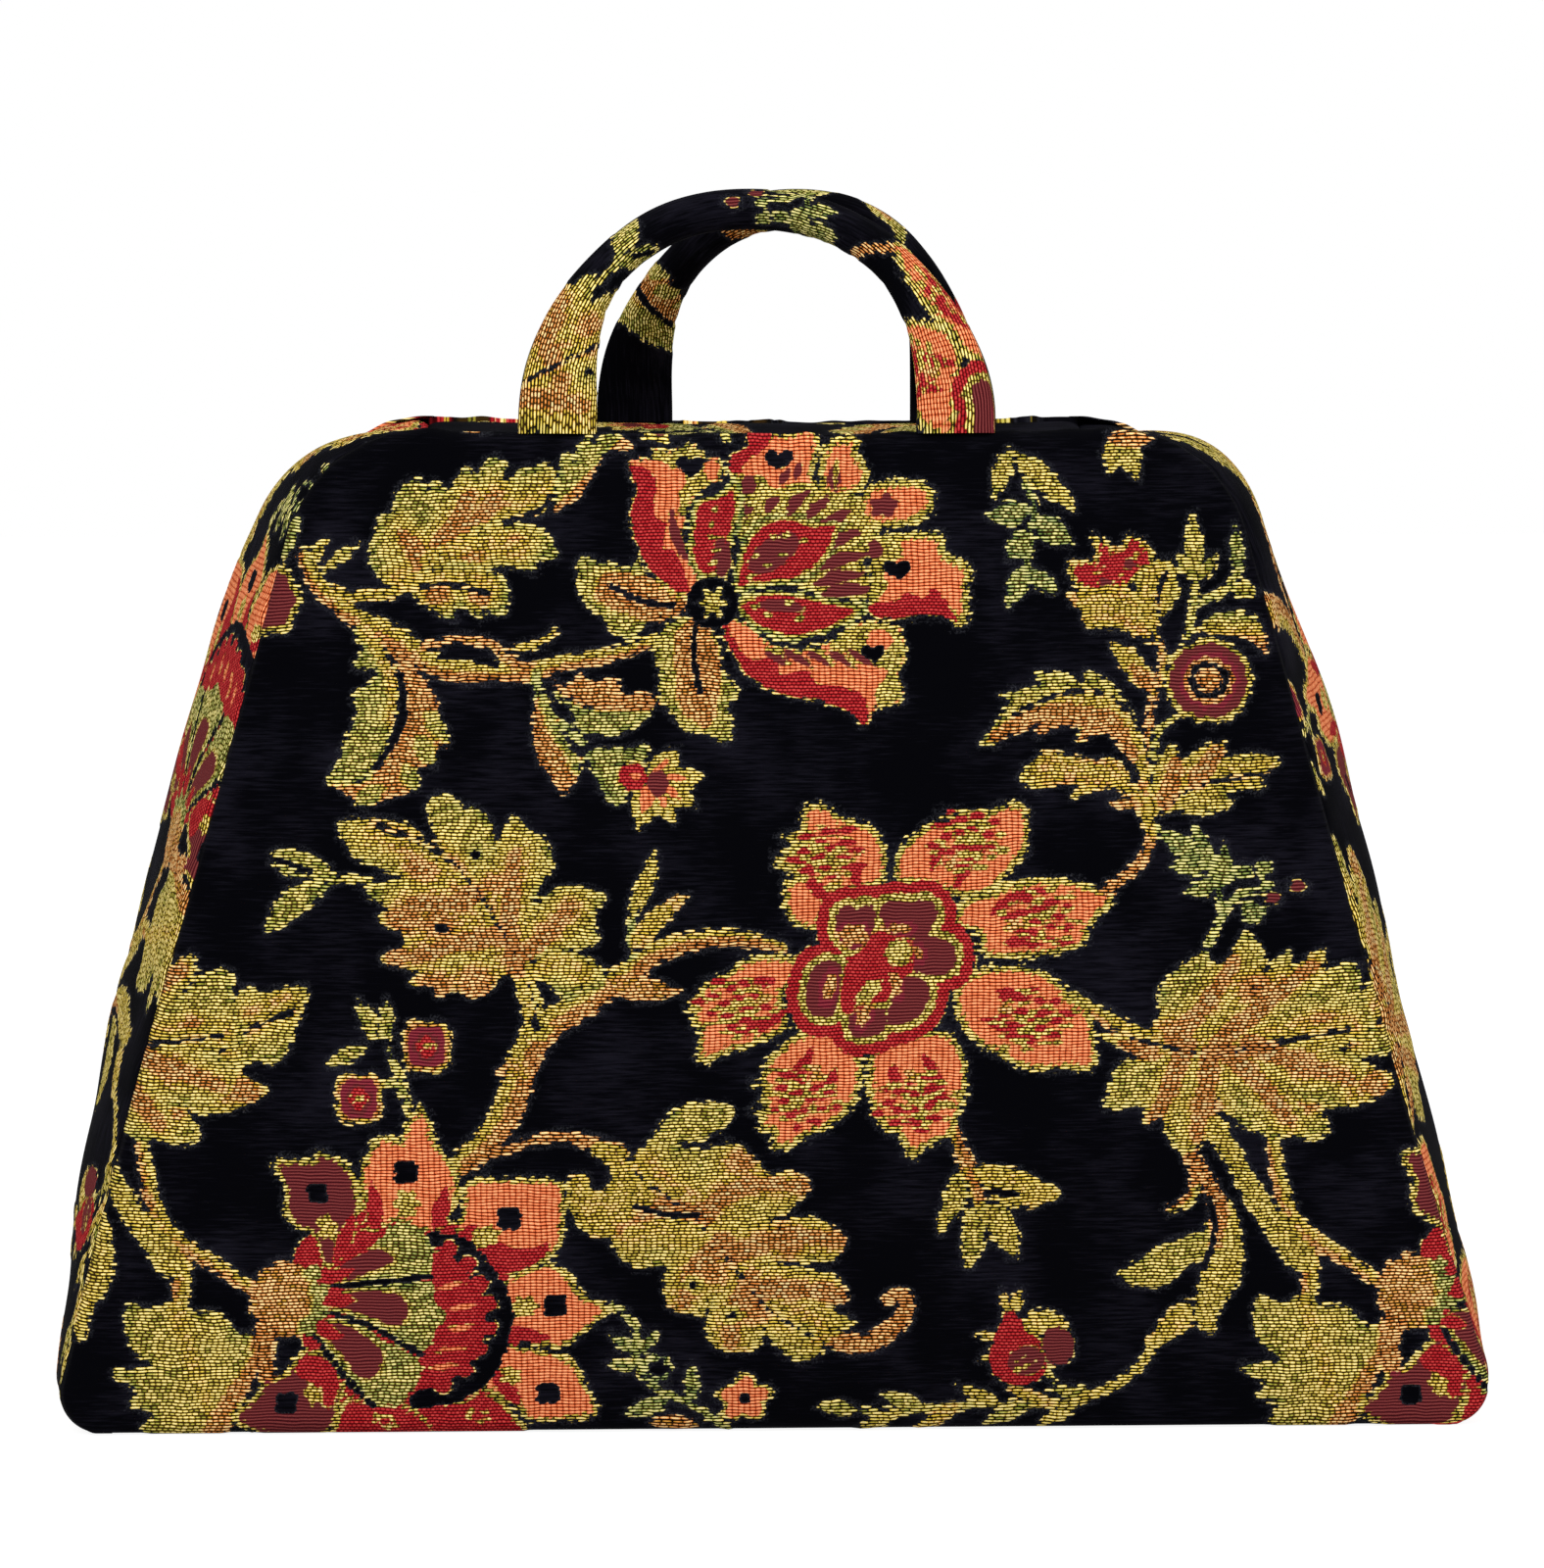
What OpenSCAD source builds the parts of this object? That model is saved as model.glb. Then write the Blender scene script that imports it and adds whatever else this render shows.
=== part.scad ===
// Carpet bag of floral tapestry cloth, zipped along the top, with two rolled cloth handles.
// Millimetres. The bag stands on the floor plane, its front faces -Y and its height runs along +Z.

/* [Bag] */
// Width of the front panel along the floor, before its corners are rounded
bottom_w = 476; // [430:2:510]
// Width of the front panel along the top, before its corners are rounded
top_w = 294; // [260:2:320]
// Height of the top seams above the floor
bag_h = 326; // [290:2:370]
// Depth between the front and back seams at the floor
base_depth = 176; // [150:2:200]
// Depth between the front and back seams at the top
top_depth = 140; // [116:2:160]
// Radius of the front panel's top corners
top_corner_r = 46; // [36:1:56]
// Radius of the front panel's bottom corners
bottom_corner_r = 13; // [10:1:24]
// How far the filled front and back stand out at their middle
panel_crown = 16; // [8:1:24]
// How far the filled side strips stand out at their middle
gusset_bulge = 17; // [8:1:28]

/* [Cloth and board] */
// Thickness of the backed tapestry cloth
cloth_t = 2.4; // [1.6:0.1:3]
// Thickness of the lining cloth
lining_t = 0.8; // [0.5:0.1:1.2]
// Thickness of the stiff board in the base
board_t = 2.5; // [1.5:0.1:4]
// Gap left between two cloths along a sewn seam
seam_gap = 0.2; // [0.1:0.05:0.4]
// Gap left between the board's edge and the cloth around it
board_gap = 3; // [2:0.5:6]
// Radius of the board's corners
board_corner_r = 12; // [6:1:20]
// Ease of the lining inside the outer cloth, beyond the seam gap
lining_ease = 0.3; // [0.2:0.1:1]

/* [Zip] */
// How deep the zip lies below the top seams, in the valley of the top strips
zip_drop = 8; // [5:0.5:12]
// Width of the open channel between the two top strips
zip_slot = 16; // [14:0.5:20]
// Width of the flat hem that each top strip is sewn to its tape along
hem_w = 8; // [6:0.5:12]
// Thickness of the woven zip tape
tape_t = 0.8; // [0.6:0.1:1.2]
// Width of the two rows of meshed teeth
chain_w = 6.4; // [5.6:0.2:7.2]
// Height of a tooth
tooth_h = 2.6; // [2:0.1:3.2]
// Spacing of the teeth along one tape
tooth_pitch = 4; // [3:0.25:5]
// Free space round the chain inside the slider, and round the pull's pin
slide_gap = 0.35; // [0.25:0.05:0.5]
// Wall of the slider's plates
slider_wall = 1.1; // [0.8:0.1:1.5]
// Length of the slider
slider_len = 15; // [12:0.5:18]
// Length of the pull tab from its pin
pull_len = 24; // [20:1:30]
// Width of the pull tab
pull_w = 8; // [7:0.5:9]
// Thickness of the pull tab
pull_t = 1.6; // [1.2:0.1:2]
// Diameter of the pull's pin
pin_d = 1.8; // [1.4:0.1:2.2]

/* [Handles] */
// Distance between the middles of the front handle's feet
handle_span = 130; // [110:2:150]
// How far the front handle is sewn off the middle, to the left
handle_shift = 4; // [0:1:10]
// Distance between the middles of the rear handle's feet
rear_handle_span = 108; // [96:2:150]
// How far the rear handle is sewn off the middle, to the right
rear_handle_shift = 13; // [0:1:20]
// Height of the handle's middle line above the top seams
handle_rise = 71; // [56:1:90]
// Diameter of the rolled handle
handle_d = 13.5; // [11:0.5:16]
// Width of a handle's flattened foot
foot_w = 26; // [20:1:32]
// Thickness of a handle's flattened foot
foot_t = 6; // [5:0.5:8]
// Cloth thickness of the handle's cover
cover_t = 1.6; // [1.2:0.1:1.8]
// Gap between the two handles where they lean together
handle_gap = 3; // [1:0.5:8]
// Gap between the cord filling and its cover
core_gap = 0.15; // [0.1:0.05:0.3]

/* [Hidden] */
$fn = 48;

// Colours of the cloth, the lining, the board and the zip
cloth_colour = "#0c0c12";
strip_colour = "#14131a";
handle_colour = "#8a5a30";
lining_colour = "#4a1f24";
board_colour = "#8d7a5c";
tape_colour = "#15151a";
brass_colour = "#a58a4c";
core_colour = "#d8d0bc";

// How finely the soft surfaces are divided
panel_cols = 20;
gusset_cols = 12;
bottom_arc_steps = 5;
side_steps = 10;
top_arc_steps = 8;
handle_rings = 24;
handle_sides = 14;
lining_steps = 9;

// Outline of the front panel: a trapezium with four rounded corners, right half, floor to top
side_lean = atan2((bottom_w - top_w) / 2, bag_h);
bottom_tangent = bottom_corner_r / tan((90 - side_lean) / 2);
top_tangent = top_corner_r / tan((90 + side_lean) / 2);
base_half = bottom_w / 2 - bottom_tangent;
run_half = top_w / 2 - top_tangent;
top_arc_z = bag_h - top_corner_r;

function on_arc(cx, cz, r, angle) = [cx + r * cos(angle), cz + r * sin(angle), cos(angle), sin(angle)];
function mix(a, b, t) = a + (b - a) * t;
function clamp01(t) = min(1, max(0, t));
function smooth(t) = let (c = clamp01(t)) c * c * (3 - 2 * c);

// Each entry is x, z and the outward direction there
bottom_arc = [for (k = [0 : bottom_arc_steps])
    on_arc(base_half, bottom_corner_r, bottom_corner_r, mix(-90, side_lean, k / bottom_arc_steps))];
top_arc = [for (k = [0 : top_arc_steps])
    on_arc(run_half, top_arc_z, top_corner_r, mix(side_lean, 90, k / top_arc_steps))];
side_line = [for (k = [1 : side_steps - 1])
    mix(bottom_arc[bottom_arc_steps], top_arc[0], k / side_steps)];
outline = concat(bottom_arc, side_line, top_arc);
last_row = len(outline) - 1;
first_top_row = last_row - top_arc_steps;

// Length along the outline from the floor to a row, which shares the bulge out along the strip
function run_to(row) = row == 0 ? 0 : run_to(row - 1)
    + norm([outline[row][0] - outline[row - 1][0], outline[row][1] - outline[row - 1][1]]);

// Half depth between the seams at a height, and how far the front stands out at a point of it
function half_depth(z) = mix(base_depth, top_depth, z / bag_h) / 2;
function crown(across, z) = panel_crown * (1 - across * across) * pow(abs(sin(180 * z / bag_h)), 0.7);

// Half width of the outline at a height
bottom_arc_z = bottom_arc[bottom_arc_steps][1];
side_top_z = top_arc[0][1];
function outline_half(z) =
    z < bottom_arc_z ? base_half + sqrt(max(0, pow(bottom_corner_r, 2) - pow(bottom_corner_r - z, 2))) :
    z < side_top_z ? mix(bottom_arc[bottom_arc_steps][0], top_arc[0][0],
                         (z - bottom_arc_z) / (side_top_z - bottom_arc_z)) :
    run_half + sqrt(max(0, pow(top_corner_r, 2) - pow(z - top_arc_z, 2)));

// Zip levels: the hems lie on the tapes, and the teeth are centred on the tapes
slot_half = zip_slot / 2;
hem_z = bag_h - zip_drop;
zip_z = hem_z - cloth_t - seam_gap - tape_t / 2;
chain_half = chain_w / 2;
tape_half = slot_half + hem_w;
tooth_reach = chain_half * 0.38;
strip_edge = top_depth / 2 - cloth_t - seam_gap;
strip_half_len = run_half - seam_gap;

// The slider's channel and outside follow the chain; the pin sits above its upper plate
channel_h = tooth_h + 2 * slide_gap;
slider_h = channel_h + 2 * slider_wall;
slider_half_w = chain_half + slide_gap + slider_wall + 0.9;
slider_top = zip_z + slider_h / 2;
bridge_wall = 1;
bridge_w = 2.4;
pin_hole_d = pin_d + 2 * slide_gap;
pin_z = slider_top + pin_hole_d / 2 + 0.2;

// The zip is closed at rest: the slider stands against the top stops at the bag's right end
stop_len = 3;
stop_h = tooth_h + 0.8;
top_stop_x = strip_half_len - stop_len - 2;
slider_x = top_stop_x - stop_len / 2 - slide_gap - slider_len / 2;
bottom_stop_x = -top_stop_x;
bottom_stop_len = 5;
teeth_start = bottom_stop_x + bottom_stop_len / 2 + tooth_pitch / 2;
teeth_count = floor((slider_x - teeth_start) / tooth_pitch);

// Closed sheet between two grids of points with the same rows and columns.
// Rows then columns run anticlockwise seen from the outside of the first grid.
module sheet(outside, inside) {
    rows = len(outside);
    cols = len(outside[0]);
    count = rows * cols;
    function at(r, c) = r * cols + c;
    border = concat(
        [for (c = [0 : cols - 1]) at(0, c)],
        [for (r = [1 : rows - 1]) at(r, cols - 1)],
        [for (c = [cols - 2 : -1 : 0]) at(rows - 1, c)],
        [for (r = [rows - 2 : -1 : 1]) at(r, 0)]);
    edge = len(border);
    polyhedron(
        concat([for (row = outside) each row], [for (row = inside) each row]),
        concat(
            [for (r = [0 : rows - 2], c = [0 : cols - 2]) each [
                [at(r, c), at(r + 1, c + 1), at(r, c + 1)],
                [at(r, c), at(r + 1, c), at(r + 1, c + 1)]]],
            [for (r = [0 : rows - 2], c = [0 : cols - 2]) each [
                [count + at(r, c), count + at(r, c + 1), count + at(r + 1, c + 1)],
                [count + at(r, c), count + at(r + 1, c + 1), count + at(r + 1, c)]]],
            [for (k = [0 : edge - 1]) let (a = border[k], b = border[(k + 1) % edge]) each [
                [a, b, count + b],
                [a, count + b, count + a]]]),
        convexity = 8);
}

// Closed skin over a row of rings, capped at both ends, or joined end to end when looped
module skin(rings, looped = false) {
    cols = len(rings[0]);
    count = len(rings);
    spans = looped ? count : count - 1;
    function at(r, c) = (r % count) * cols + (c % cols);
    polyhedron(
        [for (ring = rings) each ring],
        concat(
            [for (r = [0 : spans - 1], c = [0 : cols - 1]) each [
                [at(r, c), at(r + 1, c + 1), at(r, c + 1)],
                [at(r, c), at(r + 1, c), at(r + 1, c + 1)]]],
            looped ? [] : [
                [for (c = [0 : cols - 1]) at(0, c)],
                [for (c = [cols - 1 : -1 : 0]) at(count - 1, c)]]),
        convexity = 8);
}

// Front panel: crowned cloth inside the outline, its back face cloth_t behind
function panel_point(row, col, inward) =
    let (across = mix(-1, 1, col / panel_cols), p = outline[row], half = half_depth(p[1]))
    [across * p[0], inward - half - crown(across, p[1]), p[1]];
function panel_grid(inward) = [for (row = [0 : last_row])
    [for (col = [0 : panel_cols]) panel_point(row, col, inward)]];

module tapestry_panel() {
    color(cloth_colour) sheet(panel_grid(0), panel_grid(cloth_t));
}

// Side strip: swept along the outline, swelling at its middle and dipping to the zip at its top
function valley(y) = zip_drop * clamp01((strip_edge - abs(y)) / (strip_edge - tape_half));
function dip(row) = smooth((row - first_top_row) / top_arc_steps);
swell_lift = 1.25;
swell_fullness = 0.65;
function swell(row) = gusset_bulge * (1 - dip(row))
    * pow(max(0, sin(180 * pow(run_to(row) / run_to(last_row), swell_lift))), swell_fullness);
swells = [for (row = [0 : last_row]) swell(row)];

function gusset_point(row, col, inward) =
    let (across = mix(-1, 1, col / gusset_cols), p = outline[row],
         y = across * (half_depth(p[1]) - cloth_t - seam_gap),
         out = swells[row] * (1 - across * across) - valley(y) * dip(row) - inward)
    [p[0] + out * p[2], y, p[1] + (p[3] < 0 ? -inward : out) * p[3]];
function gusset_grid(inward) = [for (row = [0 : last_row])
    [for (col = [0 : gusset_cols]) gusset_point(row, col, inward)]];

module side_gusset() {
    color(strip_colour) sheet(gusset_grid(0), gusset_grid(cloth_t));
}

// Top strip: slopes from the seam down to a flat hem beside the zip
module top_gusset() {
    color(strip_colour)
        rotate([90, 0, 90])
            linear_extrude(2 * strip_half_len, center = true)
                polygon([
                    [-strip_edge, bag_h], [-strip_edge, bag_h - cloth_t],
                    [-tape_half, hem_z - cloth_t], [-slot_half, hem_z - cloth_t],
                    [-slot_half, hem_z], [-tape_half, hem_z]]);
}

// Base: a flat cloth floor with a stiff board lying on it
module base_panel() {
    color(cloth_colour)
        translate([-base_half + seam_gap, -base_depth / 2 + cloth_t + seam_gap, 0])
            cube([2 * (base_half - seam_gap), base_depth - 2 * (cloth_t + seam_gap), cloth_t]);
}

module base_board() {
    corner = board_corner_r;
    half = [base_half - board_gap - corner, base_depth / 2 - cloth_t - board_gap - corner];
    color(board_colour)
        translate([0, 0, cloth_t])
            linear_extrude(board_t)
                union() {
                    square([2 * half[0], 2 * (half[1] + corner)], center = true);
                    square([2 * (half[0] + corner), 2 * half[1]], center = true);
                    for (sx = [-1, 1], sy = [-1, 1])
                        translate([sx * half[0], sy * half[1]]) circle(corner);
                }
}

// Lining: a thin open-mouthed bag inside the outer cloth, its mouth sewn under the tapes
lining_floor_z = cloth_t + board_t + seam_gap;
lining_top_z = zip_z - tape_t / 2 - seam_gap;
lining_lift = bag_h - lining_top_z;
lining_inset = cloth_t + seam_gap + lining_ease;
lining_straight = lining_top_z - top_corner_r;
lining_floor_half = base_half
    + sqrt(max(0, pow(bottom_corner_r - lining_inset, 2) - pow(bottom_corner_r - lining_floor_z, 2)));
shoulder = 2 * lining_inset + lining_t + 2;
mouth_half = top_stop_x + bottom_stop_len / 2 + 1;

// Levels of the lining from its floor to its mouth, each with its half width and half depth
lining_walls = concat(
    [mix(lining_floor_z, lining_straight, 0.5), lining_straight],
    [for (k = [1 : lining_steps - 1])
        lining_straight + top_corner_r * sin(90 * k / lining_steps)]);
lining_levels = concat(
    [[lining_floor_z, lining_floor_half, half_depth(lining_floor_z) - lining_inset]],
    [for (z = lining_walls) [z, outline_half(z + lining_lift) - lining_inset, half_depth(z) - lining_inset]],
    [[lining_top_z, run_half, half_depth(lining_top_z) - shoulder]]);
function ring_at(z, half_x, half_y) =
    [[-half_x, -half_y, z], [half_x, -half_y, z], [half_x, half_y, z], [-half_x, half_y, z]];

module lining() {
    roof = lining_top_z - lining_t;
    floor_z = lining_floor_z + lining_t;
    top = len(lining_levels) - 1;
    color(lining_colour)
        skin(concat(
            [for (p = lining_levels) ring_at(p[0], p[1], p[2])],
            [ring_at(lining_top_z, mouth_half, slot_half), ring_at(roof, mouth_half, slot_half)],
            [for (k = [top : -1 : 0]) let (p = lining_levels[k])
                ring_at(max(floor_z, min(p[0], roof)), p[1] - lining_t, p[2] - lining_t)]));
}

// Zip tape: a flat woven strip under the hem, its beaded edge at the teeth
module zip_tape() {
    color(tape_colour)
        translate([-strip_half_len, -tape_half, zip_z - tape_t / 2])
            cube([2 * strip_half_len, tape_half - chain_half, tape_t]);
}

// Tooth: a narrow neck that widens to a head between its two neighbours on the other tape
module tooth() {
    head = tooth_pitch * 0.45;
    neck = tooth_pitch * 0.3;
    linear_extrude(tooth_h, center = true)
        polygon([
            [-head / 2, -chain_half], [head / 2, -chain_half], [neck / 2, -tooth_reach - head / 2],
            [neck / 2, -tooth_reach], [head / 2, tooth_reach / 3], [neck / 2, tooth_reach],
            [-neck / 2, tooth_reach], [-head / 2, tooth_reach / 3],
            [-neck / 2, -tooth_reach], [-neck / 2, -tooth_reach - head / 2]]);
}

module tooth_row(offset_x) {
    color(brass_colour)
        for (k = [0 : teeth_count - 1])
            translate([teeth_start + offset_x + k * tooth_pitch, 0, zip_z]) tooth();
}

module zip_teeth_front() { tooth_row(0); }
module zip_teeth_rear() { rotate([0, 0, 180]) mirror([1, 0, 0]) tooth_row(tooth_pitch / 2); }

// Stops: a clamp on each tape edge at the closed end, and one box over both at the other end
module zip_top_stops() {
    color(brass_colour)
        for (side = [-1, 1])
            translate([top_stop_x, side * (chain_half + slide_gap + 0.6), zip_z])
                difference() {
                    cube([stop_len, 2.4, stop_h], center = true);
                    translate([0, side * (0.6 - slide_gap + 0.6), 0])
                        cube([stop_len + 1, 2.4 + 1.2, tape_t], center = true);
                }
}

module zip_bottom_stop() {
    color(brass_colour)
        translate([bottom_stop_x, 0, zip_z])
            difference() {
                cube([bottom_stop_len, chain_w + 2, stop_h], center = true);
                for (side = [-1, 1])
                    translate([0, side * (chain_half + 1), 0])
                        cube([bottom_stop_len + 1, 2, tape_t], center = true);
            }
}

// Slider: two plates round the chain, a wedge post between them, and a bridge for the pull
module slider_outline() {
    nose = slider_half_w * 0.8;
    hull() {
        translate([slider_len / 2 - nose, 0]) circle(nose);
        translate([slider_len / 2 - nose - 1, 0]) square([2, 2 * slider_half_w], center = true);
        translate([-slider_len / 2 + 0.5, 0]) square([1, 2 * slider_half_w - 2], center = true);
    }
}

module bridge_profile() {
    leg = pin_hole_d / 2 + bridge_wall;
    translate([0, pin_z - slider_top]) circle(leg);
    translate([-leg, -slider_wall / 2]) square([2 * leg, pin_z - slider_top + slider_wall / 2]);
}

module zip_slider() {
    post_len = 3;
    color(brass_colour)
        translate([slider_x, 0, 0]) {
            difference() {
                translate([0, 0, zip_z - slider_h / 2]) linear_extrude(slider_h) slider_outline();
                translate([-slide_gap, 0, zip_z])
                    cube([slider_len + 2, 2 * (chain_half + slide_gap), channel_h], center = true);
                translate([0, 0, zip_z])
                    cube([slider_len + 2, 4 * slider_half_w, tape_t + 2 * slide_gap], center = true);
            }
            translate([slider_len / 2 - post_len - 0.5, -0.9, zip_z - channel_h / 2 - slider_wall / 2])
                cube([post_len, 1.8, channel_h + slider_wall]);
            translate([0, 0, slider_top])
                rotate([90, 0, 0])
                    difference() {
                        linear_extrude(bridge_w, center = true) bridge_profile();
                        translate([0, pin_z - slider_top, 0])
                            cylinder(h = bridge_w + 1, d = pin_hole_d, center = true);
                    }
        }
}

// Pull: a pin through the bridge, two arms beside it and a rounded tab with a hole
module zip_pull() {
    arm_len = pin_hole_d / 2 + bridge_wall + slide_gap + pin_d / 2;
    tab_len = pull_len - arm_len;
    round_r = pull_w / 2;
    color(brass_colour)
        translate([slider_x, 0, pin_z]) {
            rotate([90, 0, 0]) cylinder(h = pull_w - 0.4, d = pin_d, center = true);
            translate([0, 0, -pull_t / 2])
                linear_extrude(pull_t)
                    difference() {
                        union() {
                            translate([-pull_len + round_r, -round_r])
                                square([pull_len - round_r, pull_w]);
                            translate([-pull_len + round_r, 0]) circle(round_r);
                        }
                        translate([-arm_len, -bridge_w / 2 - slide_gap])
                            square([arm_len + 1, bridge_w + 2 * slide_gap]);
                        translate([-arm_len - tab_len * 0.62, 0]) circle(round_r * 0.5);
                    }
        }
}

// Handle: an arch that stands up from the seam and leans in to meet its twin over the zip
arch_power = 2.2;
foot_lift = 0.4;
foot_turn = 50;
foot_y = -(top_depth / 2 - foot_t / 2);
apex_y = -(handle_d + handle_gap) / 2;
function arch_point(angle, span) =
    let (rise = pow(sin(angle), 2 / arch_power))
    [-sign(cos(angle)) * span / 2 * pow(abs(cos(angle)), 2 / arch_power),
     mix(foot_y, apex_y, pow(rise, 1.7)),
     bag_h + foot_lift + handle_rise * rise];
function unit(v) = v / norm(v);
function arch_ring(angle, span, inward, sides) =
    let (step = 0.5,
         ahead = arch_point(min(180, angle + step), span),
         behind = arch_point(max(0, angle - step), span),
         along = unit(ahead - behind),
         across = unit(cross([0, -1, 0], along)),
         facing = cross(along, across),
         round_part = smooth(min(angle, 180 - angle) / foot_turn),
         wide = mix(foot_w, handle_d, round_part) / 2 - inward,
         thick = mix(foot_t, handle_d, round_part) / 2 - inward,
         middle = arch_point(angle, span))
    [for (k = [0 : sides - 1])
        middle + wide * cos(360 * k / sides) * across + thick * sin(360 * k / sides) * facing];

module handle_cover(span) {
    angles = [for (k = [0 : handle_rings]) 180 * k / handle_rings];
    color(handle_colour)
        skin(concat(
            [for (k = [0 : handle_rings]) arch_ring(angles[k], span, 0, handle_sides)],
            [for (k = [handle_rings : -1 : 0]) arch_ring(angles[k], span, cover_t, handle_sides)]),
            looped = true);
}

module handle_core(span) {
    first = ceil(foot_turn / 180 * handle_rings);
    color(core_colour)
        skin([for (k = [first : handle_rings - first])
            arch_ring(180 * k / handle_rings, span, cover_t + core_gap, handle_sides)]);
}

module to_rear() { rotate([0, 0, 180]) children(); }
module to_left() { mirror([1, 0, 0]) children(); }
module front_handle_place() {
    translate([-handle_shift, 0, 0]) children();
}
module rear_handle_place() {
    translate([rear_handle_shift, 0, 0]) to_rear() children();
}

base_panel();
base_board();
tapestry_panel();  // front_panel
to_rear() tapestry_panel();  // back_panel
to_left() side_gusset();  // side_gusset_left
side_gusset();  // side_gusset_right
top_gusset();  // top_gusset_front
to_rear() top_gusset();  // top_gusset_rear
zip_tape();  // zip_tape_front
to_rear() zip_tape();  // zip_tape_rear
zip_teeth_front();
zip_teeth_rear();
zip_top_stops();
zip_bottom_stop();
zip_slider();
zip_pull();
lining();
front_handle_place() handle_cover(handle_span);  // handle_cover_front
rear_handle_place() handle_cover(rear_handle_span);  // handle_cover_rear
front_handle_place() handle_core(handle_span);  // handle_core_front
rear_handle_place() handle_core(rear_handle_span);  // handle_core_rear
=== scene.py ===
"""A carpet bag of black chenille tapestry, zipped along the top, with two rolled cloth handles."""

import math

import bpy
import numpy as np
from bpy.props import FloatProperty, FloatVectorProperty, PointerProperty
from bpy.types import Operator, Panel, PropertyGroup
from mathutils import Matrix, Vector


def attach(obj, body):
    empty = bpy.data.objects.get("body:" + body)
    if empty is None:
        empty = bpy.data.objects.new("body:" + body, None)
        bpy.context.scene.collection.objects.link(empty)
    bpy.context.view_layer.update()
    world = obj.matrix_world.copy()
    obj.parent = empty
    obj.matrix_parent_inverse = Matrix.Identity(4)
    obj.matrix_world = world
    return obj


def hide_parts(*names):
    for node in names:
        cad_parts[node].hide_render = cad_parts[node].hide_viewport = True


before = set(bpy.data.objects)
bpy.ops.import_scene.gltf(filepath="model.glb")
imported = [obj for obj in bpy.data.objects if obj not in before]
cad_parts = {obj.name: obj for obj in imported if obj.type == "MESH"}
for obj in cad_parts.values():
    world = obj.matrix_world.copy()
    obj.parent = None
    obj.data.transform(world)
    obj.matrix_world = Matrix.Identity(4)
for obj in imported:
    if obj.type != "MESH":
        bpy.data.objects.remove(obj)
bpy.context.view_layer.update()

bl_info = {
    "name": "Carpet Bag",
    "version": (1, 0, 0),
    "blender": (4, 5, 0),
    "location": "View3D > Sidebar > Carpet Bag",
    "description": "Dresses a carpet bag's solids in floral tapestry cloth",
    "category": "Object",
}

MM = 0.001


def linear(code):
    """Linear red, green and blue of an sRGB hex colour."""
    parts = [int(code[k:k + 2], 16) / 255 for k in (1, 3, 5)]
    return tuple(c / 12.92 if c <= 0.04045 else ((c + 0.055) / 1.055) ** 2.4 for c in parts)


def length(name, default_mm, description):
    """A size of the bag, given in millimetres and kept in metres."""
    return FloatProperty(name=name, description=description, default=default_mm * MM, unit="LENGTH",
                         precision=4)


def colour(name, code, description):
    """A colour of a yarn or finish."""
    return FloatVectorProperty(name=name, description=description, default=linear(code), subtype="COLOR",
                               size=3, min=0.0, max=1.0)


class BagSizes(PropertyGroup):
    """Sizes of the sewn bag, the same as those of its solids."""

    bottom_w: length("Bottom width", 476,
                     "Width of the front along the floor, before its corners are rounded")
    top_w: length("Top width", 294, "Width of the front along the top, before its corners are rounded")
    bag_h: length("Height", 326, "Height of the top seams above the floor")
    base_depth: length("Base depth", 176, "Depth between the front and back seams at the floor")
    top_depth: length("Top depth", 140, "Depth between the front and back seams at the top")
    top_corner_r: length("Top corner", 46, "Radius of the front's top corners")
    bottom_corner_r: length("Bottom corner", 13, "Radius of the front's bottom corners")
    panel_crown: length("Crown", 16, "How far the filled front and back stand out at their middle")
    gusset_bulge: length("Side bulge", 17, "How far the filled side strips stand out at their middle")
    cloth_t: length("Cloth", 2.4, "Thickness of the backed tapestry cloth")
    seam_roll: length("Seam roll", 5, "Radius that the cloth turns into its seams with")
    pucker: length("Pucker", 0.9, "Height of the small gathers along the seams")
    sag: length("Sag", 1.6, "How far the top edges hang between the corners")
    zip_drop: length("Zip drop", 8, "How deep the zip lies below the top seams")
    zip_slot: length("Zip slot", 16, "Width of the channel between the two top strips")
    hem_w: length("Hem", 8, "Width of the flat hem beside the zip")
    chain_w: length("Chain", 6.4, "Width of the gap between the two tapes, where the teeth mesh")
    handle_span: length("Front span", 130, "Distance between the middles of the front handle's feet")
    handle_shift: length("Front shift", 4, "How far the front handle is sewn off the middle, to the left")
    rear_span: length("Rear span", 108, "Distance between the middles of the rear handle's feet")
    rear_shift: length("Rear shift", 13, "How far the rear handle is sewn off the middle, to the right")
    handle_rise: length("Handle rise", 71, "Height of a handle's middle line above the top seams")
    handle_d: length("Handle", 13.5, "Diameter of a rolled handle")
    foot_w: length("Foot width", 26, "Width of a handle's flattened foot")
    foot_t: length("Foot thickness", 6, "Thickness of a handle's flattened foot")
    handle_gap: length("Handle gap", 3, "Gap between the two handles where they lean together")
    yarn_lift: length("Yarn lift", 0.35, "How far the pattern's yarns stand above the ground")
    row_pitch: length("Row pitch", 1.06, "Spacing of the weft rows that show in the pattern")


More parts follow.
